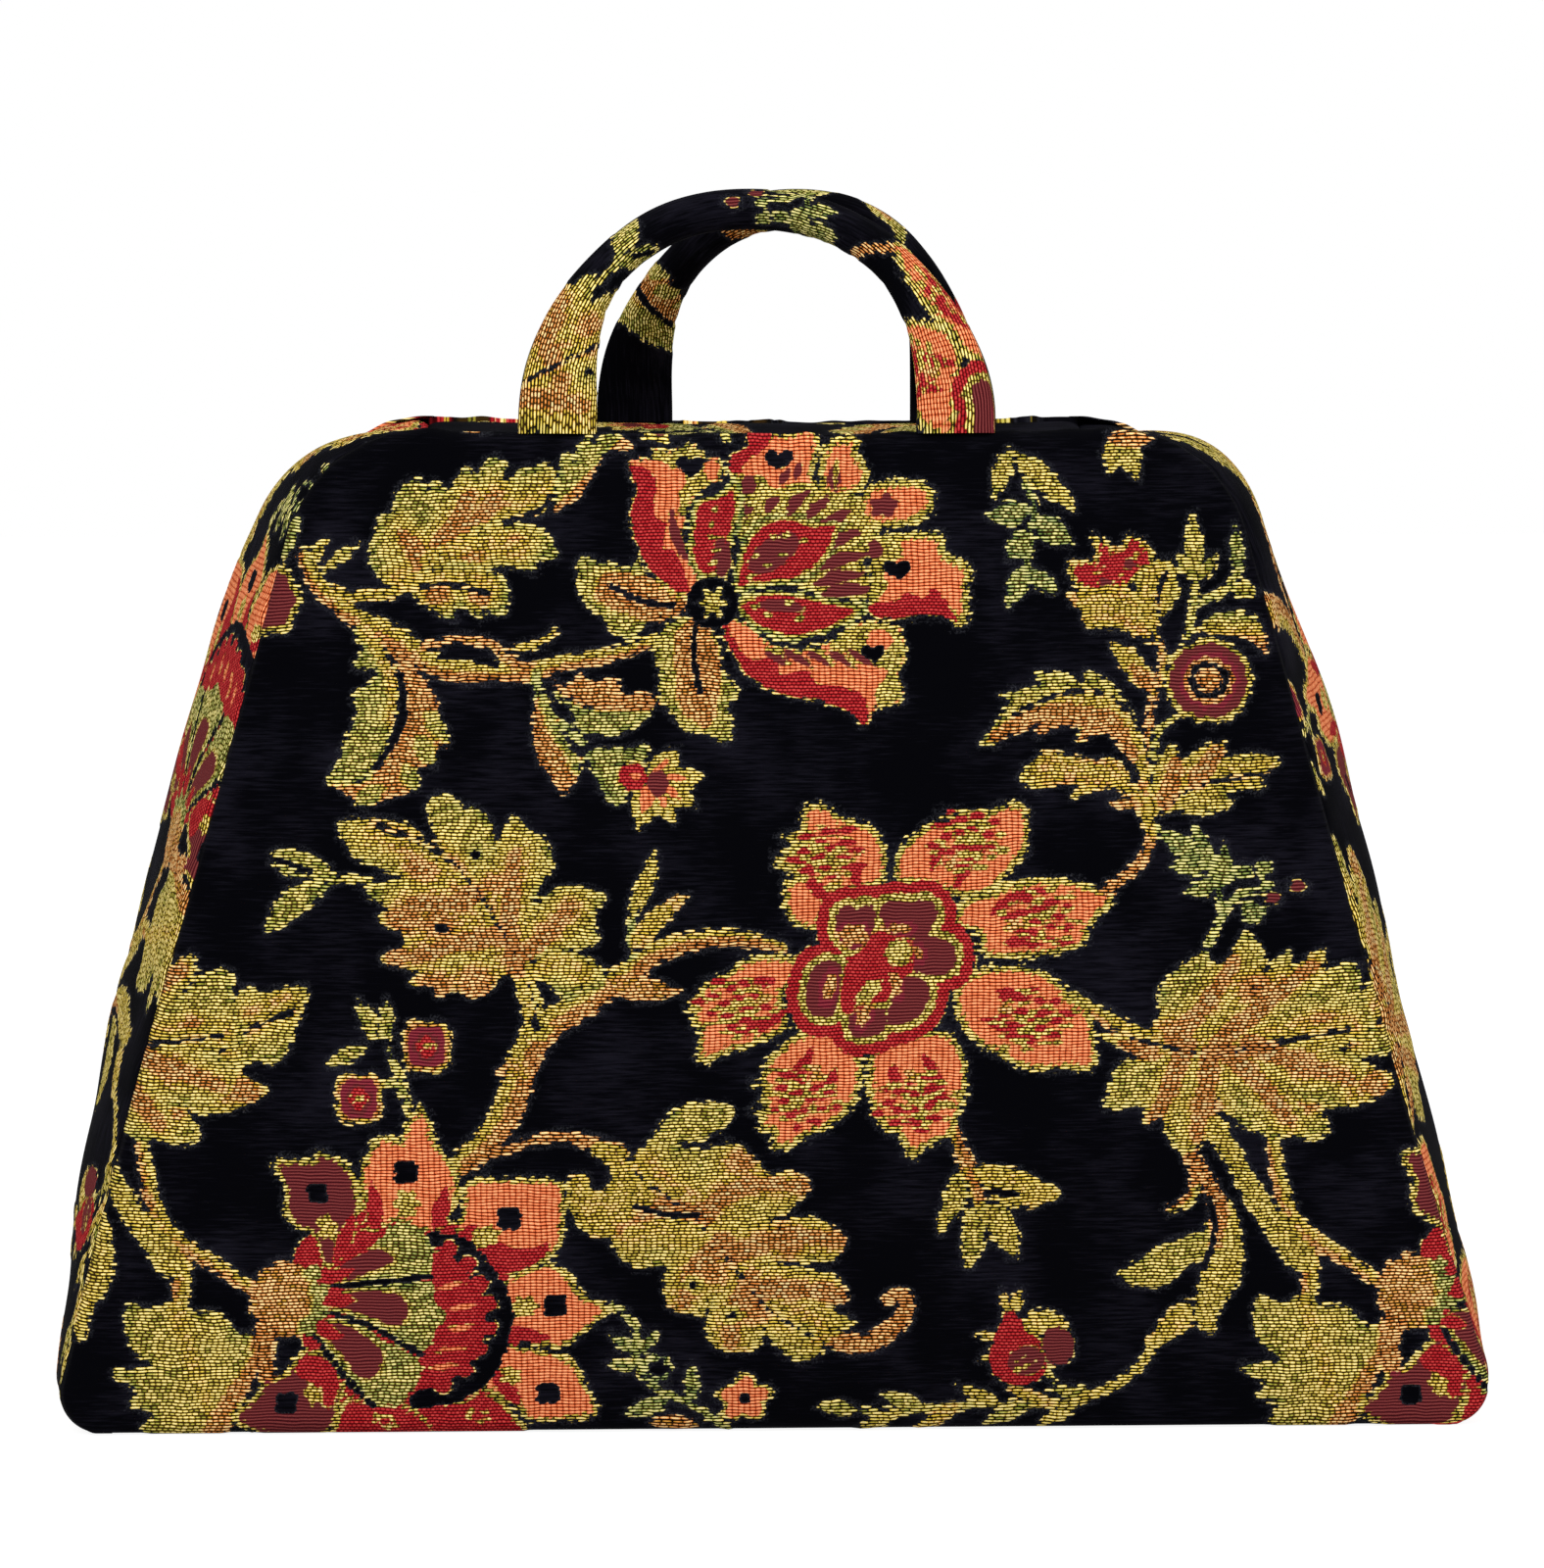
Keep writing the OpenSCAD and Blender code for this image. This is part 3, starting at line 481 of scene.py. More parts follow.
def tulip_flower(loom):
    """The big flower at the lower left and again at the right edge: a tulip heart in eyed petals."""
    loom.shape("red", 0.5, (-158, 52), (-150, 66), (-135, 72), (-112, 70), (-94, 62), (-86, 44), (-86, 24),
               (-97, 12), (-115, 4), (-140, 6), (-152, 20))
    petal(loom, [(-163, 88), (-157, 89), (-150, 89), (-149, 92), (-143, 90), (-137, 85), (-135, 73),
                 (-138, 62), (-146, 53), (-149, 58), (-151, 64), (-157, 68), (-160, 73), (-159, 79)],
          "burgundy", rim=1.7)
    loom.disc("gold", 0.55, (-146, 67), 4, 5.5, 15, lobes=5, bite=0.4)
    loom.blade("red", 0.5, (-144, 55), (-137, 72), 2.2)
    eye(loom, (-149, 78))
    petal(loom, [(-135, 76), (-135, 86), (-130, 95), (-125, 97), (-122, 95), (-119, 102), (-115, 107),
                 (-112, 102), (-110, 95), (-105, 87), (-103, 78), (-110, 66), (-120, 67), (-125, 68),
                 (-133, 65)], "coral", rim=1.9)
    loom.blade("red", 0.5, (-130, 66), (-131, 82), 2.4)
    loom.blade("red", 0.5, (-111, 67), (-107, 80), 2.6)
    loom.disc("gold", 0.5, (-120, 75), 5, 5.5, 0, lobes=6, bite=0.4)
    eye(loom, (-120, 85), 4.2)
    petal(loom, [(-105, 64), (-102, 73), (-101, 81), (-93, 83), (-82, 83), (-70, 82), (-69, 72), (-71, 61),
                 (-78, 55), (-90, 51), (-96, 55)], "coral", rim=1.7)
    loom.shape("red", 0.5, (-104, 64), (-98, 68), (-90, 62), (-80, 60), (-74, 62), (-78, 56), (-90, 52),
               (-97, 56))
    loom.disc("gold", 0.5, (-95, 64), 6, 4, 20, lobes=6, bite=0.4)
    eye(loom, (-87, 70), 4.3)
    petal(loom, [(-91, 44), (-89, 50), (-76, 55), (-68, 51), (-64, 45), (-56, 40), (-63, 33), (-72, 27),
                 (-84, 30), (-90, 35)], "coral", rim=1.7)
    loom.blade("red", 0.5, (-90, 33), (-74, 30), 2.2)
    loom.disc("gold", 0.5, (-83, 41), 5, 4, 0, lobes=6, bite=0.4)
    eye(loom, (-73, 41), 4.4)
    petal(loom, [(-93, 28), (-82, 27), (-70, 24), (-66, 20), (-63, 13), (-60, 5), (-71, 3), (-82, 3),
                 (-87, 8), (-97, 14)], "coral", rim=1.5)
    loom.blade("red", 0.5, (-94, 20), (-84, 7), 2.4)
    loom.disc("gold", 0.5, (-88, 18), 4.2, 3.6, -30, lobes=6, bite=0.4)
    eye(loom, (-76, 12), 4.2)
    for points in (
            ((-120, 10), (-106, 10), (-95, 13), (-87, 5), (-83, -3), (-100, -5), (-114, -5)),
            ((-146, 1), (-142, 11), (-135, 10), (-123, 9), (-115, 3), (-112, -5), (-130, -7), (-146, -5))):
        petal(loom, points, "red", rim=1.8)
        middle = np.mean(points, 0)
        loom.disc("gold", 0.5, middle + (2, 1), 5.5, 3, -20, lobes=5, bite=0.4)
        loom.disc("red", 0.5, middle + (2, 1), 2, 1.2)
    petal(loom, [(-178, 5), (-170, 13), (-169, 19), (-163, 18), (-154, 27), (-148, 25), (-142, 17), (-144, 6),
                 (-149, -2), (-163, -3), (-173, 0)], "burgundy", rim=1.6)
    loom.shape("red", 0.5, (-158, 20), (-153, 25), (-148, 23), (-144, 16), (-147, 7), (-151, 14))
    loom.disc("gold", 0.55, (-152, 12), 3.6, 5, 30, lobes=5, bite=0.4)
    eye(loom, (-161, 9), 4)
    loom.shape("red", 0.5, (-112, 57), (-107, 59), (-99, 52), (-95, 41), (-97, 27), (-106, 16), (-118, 12),
               (-116, 22), (-112, 33), (-108, 38), (-111, 45))
    loom.line(None, 0, (-112, 63), (-103, 60), (-94, 48), (-91, 38), (-96, 22), (-106, 13), (-118, 10),
              w=(2.8, 4.0, 4.2, 4.0, 2.8))
    for u, v in ((-107, 60), (-101, 55), (-97, 49), (-94.5, 42), (-95, 34), (-98, 27), (-103, 20),
                 (-110, 15)):
        loom.disc("red", 0.5, (u, v), 2.6)
    for u, v in ((-107, 48), (-103, 41), (-104, 34), (-107, 27), (-110, 21)):
        loom.disc("coral", 0.5, (u, v), 5, 1.2, 8)
    tulip = (
        (((-149, 48), (-142, 53), (-133, 60), (-123, 69), (-114, 64), (-112, 57), (-114, 51), (-129, 49)),
         ((-149, 50), (-138, 57), (-130, 60), (-125, 56), (-134, 52), (-146, 48))),
        (((-149, 43), (-135, 48), (-114, 50), (-112, 44), (-108, 38), (-112, 33), (-114, 27), (-123, 27),
          (-135, 36), (-149, 40)),
         ((-149, 43), (-135, 46), (-125, 45), (-121, 41), (-124, 35), (-134, 38), (-144, 41))),
        (((-152, 32), (-147, 37), (-138, 37), (-129, 30), (-118, 24), (-117, 18), (-123, 10), (-130, 8),
          (-136, 11), (-142, 18), (-148, 27)),
         ((-151, 34), (-142, 35), (-130, 26), (-133, 18), (-138, 19), (-144, 27))),
    )
    for lobe, tongue in tulip:
        loom.shape("gold", 0.22, *lobe, rough=0.4)
        loom.shape("burgundy", 0.5, *tongue)
    for points in (((-148, 47), (-130, 49), (-113, 51)), ((-149, 39), (-134, 35), (-117, 25)),
                   ((-151, 31), (-142, 18), (-133, 8))):
        loom.line(None, 0, *points, w=(0.5, 0.8, 0.7))
    for foot, far in (((-149, 49), (-138, 53)), ((-149, 43), (-137, 43)), ((-151, 34), (-142, 31))):
        loom.blade("red", 0.5, foot, far, 2.2)
    loom.disc("gold", 0.85, (-160, 43), 12, 12.5, lobes=11, bite=0.06)
    for u, v in ((-151, 52), (-149, 46), (-149, 39), (-153, 34)):
        loom.disc("gold", 0.2, (u, v), 2.6)
    loom.line("gold", 0.95, (-167, 33), (-168, 26), (-167, 19), w=(3.2, 2.8, 2.4))


def rosette(loom):
    """The ringed round flower at the right."""
    for r, yarn, tone, lobes, bite in (
            (14.6, "gold", 0.5, 17, 0.09), (12.9, "burgundy", 0.5, 17, 0.07), (8.8, "gold", 1.0, 11, 0.1),
            (6.4, None, 0, 0, 0), (3.9, "gold", 1.0, 9, 0.1)):
        loom.disc(yarn, tone, (142, 243), r, r * 0.95, lobes=lobes, bite=bite)


def carnation(loom):
    """The small frilled flower above the rosette."""
    loom.line("gold", 0.75, (121, 266), (124, 259), (127, 250), (125, 240), w=(1.0, 0.9, 0.8))
    petal(loom, [(96, 281), (105, 283), (104, 290), (112, 286), (116, 290), (122, 287), (124, 281),
                 (119, 277), (114, 273), (104, 272), (98, 275)], "red", rim=1.6, rim_tone=0.6)
    for u, v in ((106, 279), (113, 277), (110, 284), (118, 284)):
        loom.disc("gold", 0.7, (u, v), 2.2, 1.0, 25)
    for u, v in ((108, 275), (116, 281)):
        loom.disc("burgundy", 0.5, (u, v), 2.6, 1.8)
    leaf(loom, [[(101, 267), (111, 268), (121, 262)]], (96, 271), (109, 274), (118, 271), (120, 265),
         (123, 256), (114, 260), (102, 261), (100, 266), tone=0.5, warm=0.95, vein=False)
    leaf(loom, [[(124, 262), (123, 270), (126, 279)]], (118, 277), (122, 281), (129, 282), (132, 272),
         (128, 265), (124, 261), (120, 265), tone=0.45, warm=0.95, glow=3.5)


def upper_left_branch(loom):
    """The branch with a broad leaf, a hanging acanthus leaf and a small flower, left of the palmette."""
    loom.line("gold", 0.55, (-152, 284), (-148, 275), (-141, 268), (-133, 263), (-121, 257), (-112, 250),
              (-101, 247), (-88, 247), (-77, 247), (-68, 250), (-54, 252), (-39, 257),
              w=(2.2, 2.6, 3.4, 3.0, 2.2, 1.6), under=0.95)
    loom.line(None, 0, (-108, 252), (-99, 252), (-90, 249), w=(0.4, 1.4, 0.4))
    loom.line("gold", 0.85, (-113, 255), (-103, 257), (-92, 256), (-86, 251), (-79, 248), w=(0.9, 1.0, 0.9))
    loom.line("gold", 0.6, (-120, 274), (-125, 272), (-132, 271), (-138, 271), (-142, 273), w=(1.6, 1.5, 1.2))
    loom.line("gold", 0.6, (-84, 254), (-77, 256), (-71, 260), w=(0.9, 1.0, 0.7))
    loom.blade("gold", 0.45, (-151, 282), (-145, 289), 1.7)
    loom.blade("gold", 0.45, (-146, 279), (-135, 288), 1.6)
    leaf(loom, [[(-120, 275), (-112, 283), (-103, 290), (-90, 296), (-77, 301), (-73, 305)],
                [(-108, 287), (-102, 296), (-99, 303)], [(-114, 282), (-120, 291)], [(-98, 292), (-90, 303)]],
         (-120, 275), (-129, 279), (-131, 284), (-129, 291), (-127, 297), (-123, 298), (-122, 304),
         (-116, 309), (-112, 305), (-110, 308), (-105, 305), (-100, 312), (-96, 310), (-91, 316), (-87, 313),
         (-87, 308), (-81, 312), (-72, 313), (-71, 309), (-73, 300), (-81, 297), (-90, 294), tone=0.3,
         warm=0.92, blush=((-104, 290, 6), (-88, 298, 6)))
    leaf(loom, [[(-112, 283), (-98, 288), (-82, 287)]], (-112, 282), (-102, 289), (-92, 294), (-80, 294),
         (-74, 291), (-70, 284), (-77, 283), (-78, 279), (-87, 281), (-95, 280), (-106, 279), tone=0.28,
         warm=0.9, vein=False, blush=((-98, 285, 7), (-84, 288, 5)))
    leaf(loom, [[(-120, 275), (-106, 277), (-92, 274)]], (-120, 274), (-112, 279), (-101, 281), (-90, 278),
         (-86, 272), (-89, 265), (-95, 269), (-94, 264), (-102, 268), (-104, 264), (-111, 267), (-116, 271),
         tone=0.22, warm=0.98, glow=4, blush=((-109, 272, 6), (-95, 271, 5)))
    loom.shape("gold", lambda u, v: np.where((u - v) > -371, 0.9, 0.3), (-71, 299), (-70, 306), (-69, 313),
               (-67, 317), (-64, 314), (-63, 319), (-60, 323), (-58, 320), (-54, 323), (-50, 322), (-46, 319),
               (-50, 319), (-55, 317), (-58, 312), (-62, 305), (-67, 301))
    loom.shape("gold", 0.98, (-130, 258), (-124, 256), (-119, 250), (-113, 243), (-109, 236), (-110, 230),
               (-106, 224), (-110, 222), (-111, 217), (-116, 216), (-117, 210), (-125, 206), (-134, 204),
               (-137, 207), (-144, 211), (-136, 210), (-129, 215), (-124, 221), (-120, 230), (-119, 239),
               (-122, 250), rough=0.5)
    for base, tip in (((-112, 233), (-106, 225)), ((-115, 225), (-110, 217)), ((-119, 216), (-116, 209)),
                      ((-128, 209), (-135, 204))):
        loom.blade("gold", 0.3, base, tip, 2.2)
    loom.shape("gold", 0.28, (-132, 260), (-127, 254), (-123, 245), (-122, 238), (-124, 229), (-127, 220),
               (-132, 213), (-138, 211), (-145, 212), (-141, 217), (-139, 224), (-135, 233), (-136, 239),
               (-130, 243), (-129, 248), (-136, 248), (-133, 254), (-136, 259), rough=0.5)
    loom.line("gold", 0.62, (-133, 260), (-127, 252), (-123.5, 242), (-124, 230), w=(0.9, 1.2, 0.5))
    loom.line(None, 0, (-121, 246), (-120, 236), (-123, 225), (-129, 216), w=(0.5, 1.3, 0.5))
    loom.line("gold", 0.12, (-77, 246), (-76, 238), (-70, 231), (-62, 224), w=(0.9, 0.8, 0.6))
    loom.shape("gold", 0.95, (-77, 237), (-78, 228), (-76, 218), (-72, 213), (-68, 208), (-63, 218),
               (-68, 224), (-71, 231), (-75, 239), rough=0.5)
    loom.line("gold", 0.25, (-75, 240), (-72, 230), (-67, 222), (-64, 216), w=(0.7, 0.8, 0.4))
    loom.shape("gold", 0.22, (-71, 240), (-62, 235), (-51, 235), (-40, 235), (-48, 228), (-60, 227),
               (-63, 229), (-66, 235), rough=0.5)
    loom.shape("gold", 0.98, (-71, 243), (-67, 242), (-62, 246), (-60, 243), (-51, 244), (-50, 239),
               (-43, 240), (-38, 237), (-46, 235), (-59, 236), (-66, 239), rough=0.4)
    loom.shape("gold", 0.2, (-61, 221), (-50, 222), (-42, 223), (-42, 219), (-50, 216), (-48, 209),
               (-51, 204), (-56, 209), (-59, 216), rough=0.4)
    for tip, half in (((-32, 222), 4.2), ((-24, 213), 4.8), ((-26, 204), 4.2), ((-33, 199), 3.2),
                      ((-44, 197), 4.6)):
        loom.blade("gold", 0.5, (-40, 211), tip, half)
        loom.blade("coral", 0.5, (-40, 211), ((-40 + 2 * tip[0]) / 3, (211 + 2 * tip[1]) / 3), half * 0.5)
    loom.disc("burgundy", 0.5, (-38, 211), 3.6, 4.4)
    loom.disc("red", 0.5, (-46, 213), 4.4, 4.2)
    loom.disc("coral", 0.5, (-45, 213), 2.4, 1.6)


def middle_left_leaf(loom):
    """The broad leaf on the thick branch, with the twig of round florets below it."""
    loom.line("gold", 0.95, (2, 158), (-10, 161), (-22, 161), (-38, 157), (-49, 149), (-62, 140), (-75, 132),
              (-81, 123), (-84, 113), (-88, 103), (-94, 95), (-102, 88), w=(1.6, 2.6, 3.8, 5.0, 4.6, 3.8),
              under=0.56)
    loom.blade("gold", 0.85, (-54, 146), (-31, 144), 3.6)
    loom.line("gold", 0.75, (-82, 118), (-86, 120), (-89, 118), w=(1.4, 1.2, 0.6))
    loom.line("gold", 0.95, (-98, 89), (-86, 93), (-72, 97), (-60, 95), (-50, 92), w=(1.0, 1.3, 2.0))
    loom.line("gold", 0.5, (-77, 132), (-79, 140), (-83, 151), w=(3.2, 3.0, 2.4))
    loom.line(None, 0, (-77.5, 132), (-79.5, 141), (-84, 152), w=(0.8, 0.8, 0.8))
    leaf(loom, [[(-80, 136), (-83, 149), (-89, 160), (-98, 175), (-106, 184), (-115, 190), (-131, 196)],
                [(-84, 152), (-86, 168), (-84, 188)], [(-90, 162), (-101, 160), (-116, 155)],
                [(-83, 152), (-67, 170)], [(-98, 175), (-104, 172), (-118, 172)]], (-84, 149), (-89, 149),
         (-93, 144), (-99, 142), (-103, 145), (-109, 143), (-111, 146), (-118, 146), (-115, 150), (-127, 154),
         (-121, 158), (-120, 162), (-128, 167), (-125, 171), (-132, 175), (-129, 178), (-121, 181),
         (-135, 187), (-141, 196), (-138, 199), (-127, 199), (-118, 197), (-109, 189), (-111, 198),
         (-112, 203), (-109, 207), (-103, 205), (-101, 202), (-97, 203), (-91, 197), (-91, 188), (-89, 193),
         (-84, 200), (-79, 195), (-75, 193), (-72, 185), (-76, 178), (-79, 170), (-74, 175), (-67, 178),
         (-56, 175), (-58, 170), (-59, 165), (-58, 160), (-67, 157), (-79, 155), tone=0.36, warm=0.98, glow=6,
         blush=((-120, 167, 7), (-109, 166, 8), (-110, 146, 7), (-97, 147, 8), (-122, 155, 5), (-114, 184, 7),
                (-101, 178, 5), (-91, 179, 5), (-97, 160, 5)))
    leaf(loom, [[(-79, 151), (-70, 153), (-62, 150)]], (-80, 151), (-72, 157), (-59, 154), (-56, 147),
         (-62, 145), (-67, 142), (-73, 146), tone=0.3, warm=0.95, glow=4, vein=False)
    loom.disc(None, 0, (-108, 164), 2.6, 1.2, -15)
    loom.disc(None, 0, (-97, 188), 1.2, 1.0)
    loom.line("gold", 0.4, (-131, 179), (-139, 180), (-145, 178), w=(1.0, 0.9, 0.9))
    loom.shape("gold", 0.32, (-163, 187), (-155, 189), (-146, 185), (-142, 180), (-149, 180), (-159, 182))
    loom.shape("gold", 0.32, (-165, 163), (-162, 171), (-156, 177), (-145, 178), (-150, 172), (-158, 166))
    loom.line(None, 0, (-161, 186), (-150, 182), w=(0.2, 0.5, 0.3))
    loom.line("gold", 0.1, (-47, 156), (-47, 163), (-46, 171), w=(0.7, 0.6, 0.5))
    loom.blade("gold", 0.5, (-47, 169), (-39, 189), 2.6, -0.05)
    loom.blade("gold", 0.65, (-46, 158), (-29, 175), 3.0, 0.05)
    loom.line("gold", 0.3, (-118, 102), (-121, 114), (-125, 124), w=(0.8, 0.8, 0.6))
    loom.line("gold", 0.3, (-119, 108), (-123, 113), (-127, 114), w=(0.5, 0.5, 0.4))
    loom.blade("gold", 0.35, (-130, 129), (-135, 141), 2.4)
    loom.blade("gold", 0.35, (-126, 128), (-126, 141), 2.2)
    loom.blade("gold", 0.35, (-133, 126), (-145, 120), 2.3)
    for u, v, r in ((-113, 126, 8.6), (-135, 109, 8.4)):
        loom.disc("gold", 0.6, (u, v), r, r * 1.08, lobes=4, bite=0.2, phase=45)
        loom.disc("burgundy", 0.9, (u, v), r - 1.8, (r - 1.8) * 1.08, lobes=4, bite=0.22, phase=45)
        loom.disc("red", 0.5, (u, v), 3.4, 3.6, lobes=4, bite=0.3)
        loom.disc("gold", 0.5, (u, v), 1.7, 1.3)


def left_edge_leaf(loom):
    """The leaf at the left seam and the stem that leads down to the big flower."""
    loom.line("gold", 0.55, (-206, 96), (-203, 78), (-198, 64), (-194, 53), (-195, 40),
              w=(1.6, 2.2, 2.9, 2.8, 2.2), under=0.85)
    loom.line("gold", 0.6, (-198, 66), (-191, 60), (-182, 54), (-172, 47), w=(2.2, 2.0, 1.7), under=0.85)
    leaf(loom, [[(-199, 115), (-185, 123), (-171, 133), (-157, 139)], [(-194, 118), (-188, 132), (-180, 145)],
                [(-193, 117), (-180, 112), (-170, 110)]], (-197, 124), (-192, 136), (-186, 149), (-183, 145),
         (-176, 149), (-177, 140), (-181, 134), (-172, 144), (-166, 143), (-152, 145), (-155, 134),
         (-160, 122), (-168, 121), (-179, 119), (-173, 117), (-165, 111), (-176, 105), (-187, 104),
         (-193, 108), (-187, 97), (-193, 94), (-203, 96), (-204, 103), (-202, 113), (-198, 118), tone=0.36,
         warm=0.95, glow=6, blush=((-181, 127, 7), (-173, 112, 6), (-196, 105, 6)))
    leaf(loom, [[(-196, 40), (-192, 25), (-186, 6)]], (-212, 41), (-204, 40), (-197, 42), (-190, 39),
         (-182, 38), (-176, 32), (-170, 31), (-170, 23), (-176, 13), (-180, 3), (-185, -4), (-197, -5),
         (-208, 0), (-204, 6), (-212, 9), (-209, 13), (-217, 19), (-210, 20), (-204, 21), (-211, 28),
         tone=0.36, warm=0.5, glow=10, vein=False)
    loom.line("gold", 0.9, (-171, 22), (-177, 12), (-184, 0), w=(1.4, 2.4, 3.0))
    loom.disc("gold", 0.45, (-165, 270), 12, 12, lobes=7, bite=0.12)
    loom.disc("burgundy", 0.5, (-165, 270), 10, 10, lobes=7, bite=0.12)
    loom.blade("gold", 0.2, (-164, 282), (-154, 296), 3.6)


def lower_leaf(loom):
    """The curling leaf with a scroll at the bottom middle, and the thin vine below it."""
    loom.shape("gold", 0.6, (-68, 80), (-66, 84), (-61, 84), (-61, 80), (-57, 79), (-54, 82), (-54, 87),
               (-60, 93), (-51, 93), (-47, 86), (-46, 76), (-48, 68), (-54, 64), (-61, 65), (-67, 72))
    loom.line("gold", 0.95, (10, 33), (25, 28), (35, 32), (41, 39), (40, 44), (35, 43),
              w=(2.6, 3.0, 2.6, 2.2, 1.4))
    leaf(loom, [[(-44, 87), (-40, 83), (-24, 70), (-13, 55), (-2, 41), (12, 32)],
                [(-24, 70), (-36, 73), (-50, 66)], [(-18, 62), (-28, 52), (-31, 42)],
                [(-9, 50), (-15, 38), (-16, 29)], [(-24, 72), (-10, 80), (8, 80)],
                [(-14, 58), (4, 64), (20, 62)], [(-6, 46), (8, 46), (20, 44)]], (-48, 87), (-40, 96),
         (-34, 104), (-28, 107), (-15, 106), (-17, 100), (-24, 96), (-32, 94), (-25, 92), (-14, 94), (-6, 88),
         (-3, 84), (6, 84), (11, 80), (4, 73), (-5, 67), (-10, 66), (-3, 67), (9, 70), (22, 63), (17, 56),
         (4, 56), (-2, 55), (9, 53), (18, 50), (22, 43), (15, 41), (24, 35), (15, 31), (13, 25), (6, 23),
         (-2, 28), (-6, 37), (-6, 30), (-12, 26), (-20, 27), (-24, 32), (-22, 42), (-25, 38), (-29, 39),
         (-36, 41), (-37, 50), (-36, 54), (-41, 54), (-49, 55), (-54, 63), (-55, 70), (-50, 72), (-47, 76),
         tone=0.4, warm=0.95, glow=6, blush=((-33, 75, 8), (-9, 40, 8), (3, 62, 8), (-22, 52, 7),
                                             (-12, 88, 6), (14, 46, 5)))
    loom.disc("gold", 0.6, (-36, 65), 11, 4, 0)
    loom.line(None, 0, (-46, 74), (-36, 71), (-26, 71), w=(0.4, 1.0, 0.4))
    for u, v in ((-28, 48), (-16, 38), (8, 32)):
        loom.disc("gold", 0.45, (u, v), 2.4, 2.0)
        loom.disc(None, 0, (u, v), 0.9)
    loom.line("gold", 0.18, (-54, 41), (-47, 34), (-47, 24), (-43, 15), (-29, 8), (-17, -1),
              w=(0.8, 0.8, 0.8))
    for base, tip, half in (
            ((-48, 25), (-55, 32), 1.6), ((-47, 25), (-40, 32), 1.9), ((-48, 20), (-56, 22), 1.3),
            ((-29, 10), (-29, 21), 2.2), ((-37, 9), (-50, 5), 2.2)):
        loom.blade("gold", 0.15, base, tip, half)
    loom.disc("gold", 0.05, (-40, 20), 4.6, lobes=7, bite=0.25)
    loom.disc(None, 0, (-40, 20), 3.1, lobes=5, bite=0.4)
    loom.blade("gold", 0.85, (-42, 2), (-26, 1), 2.2)
    loom.disc("gold", 0.5, (-12, 10), 9.4, 8.4, 18, lobes=5, bite=0.4)
    loom.disc("coral", 0.5, (-12, 10), 8.0, 7.0, 18, lobes=5, bite=0.42)
    loom.disc(None, 0, (-12, 10), 2.0)


def lower_right_group(loom):
    """The leaves hanging from the starflower, the red bulb flower and the leafy spray along the bottom."""
    loom.line("gold", 0.95, (56, 102), (60, 92), (64, 80), (67, 70), w=(1.2, 2.4, 1.6), under=0.75)
    loom.shape("gold", 0.58, (66, 86), (72, 86), (80, 84), (92, 77), (83, 73), (73, 74), (67, 80))
    loom.shape("gold", 0.45, (58, 84), (54, 75), (52, 65), (58, 70), (62, 77))
    loom.shape("gold", 0.42, (62, 72), (60, 62), (61, 53), (66, 59), (67, 67))
    loom.shape("gold", 0.48, (68, 74), (74, 73), (78, 65), (77, 56), (71, 62), (67, 69))
    loom.line(None, 0, (68, 78), (78, 77), w=(0.3, 0.5, 0.2))
    for base, tip, half in (((75, 37), (72, 45), 1.3), ((76, 38), (79, 46), 1.6), ((71, 30), (64, 31), 1.3),
                            ((69, 22), (65, 23), 1.2)):
        loom.blade("gold", 0.6, base, tip, half)
    loom.shape("red", 0.5, (75, 39), (70, 30), (68, 21), (73, 15), (80, 14), (86, 18), (85, 27), (80, 33))
    loom.shape("burgundy", 0.5, (86, 30), (91, 34), (96, 27), (92, 20), (87, 23))
    loom.shape("gold", 0.55, (79, 33), (83, 38), (90, 37), (94, 32), (87, 33), (84, 30), rough=0.7)
    loom.disc("burgundy", 0.5, (80, 22), 6.4, 5, 10)
    for u, v in ((77, 22), (80, 24), (83, 22), (80, 20), (84, 25), (77, 19)):
        loom.disc("gold", 0.55, (u, v), 1.4, 1.0)
    loom.line("gold", 0.4, (87, 18), (90, 13), (95, 10), w=(0.5, 0.5, 0.5))
    sprig(loom, [(112, 14), (100, 9), (84, 7), (62, 7), (38, 5), (24, 6)], 4, 0.35, 15, 2.2, w=0.6, spread=26)
    loom.line("gold", 0.55, (99, 9), (109, 13), (118, 20), (123, 27), w=(1.3, 1.2, 0.9))
    loom.shape("gold", 0.6, (134, 41), (127, 37), (120, 27), (127, 28), (134, 33))
    loom.line("gold", 0.5, (134, 90), (137, 82), (135, 75), (128, 71), w=(1.4, 1.8, 1.0), under=0.95)
    loom.shape("gold", 0.4, (142, 78), (140, 65), (129, 61), (120, 56), (111, 49), (125, 46), (133, 53),
               (141, 57), (144, 68))
    loom.shape("gold", 0.5, (144, 76), (150, 69), (152, 56), (150, 47), (144, 39), (141, 30), (136, 36),
               (137, 45), (141, 56), (143, 66))
    loom.line("gold", 0.98, (136, 89), (141, 80), (144, 70), (143, 60), w=(1.6, 2.2, 2.4, 0.8))
    loom.line(None, 0, (142, 74), (142.5, 62), (139, 52), w=(0.5, 0.8, 0.4))


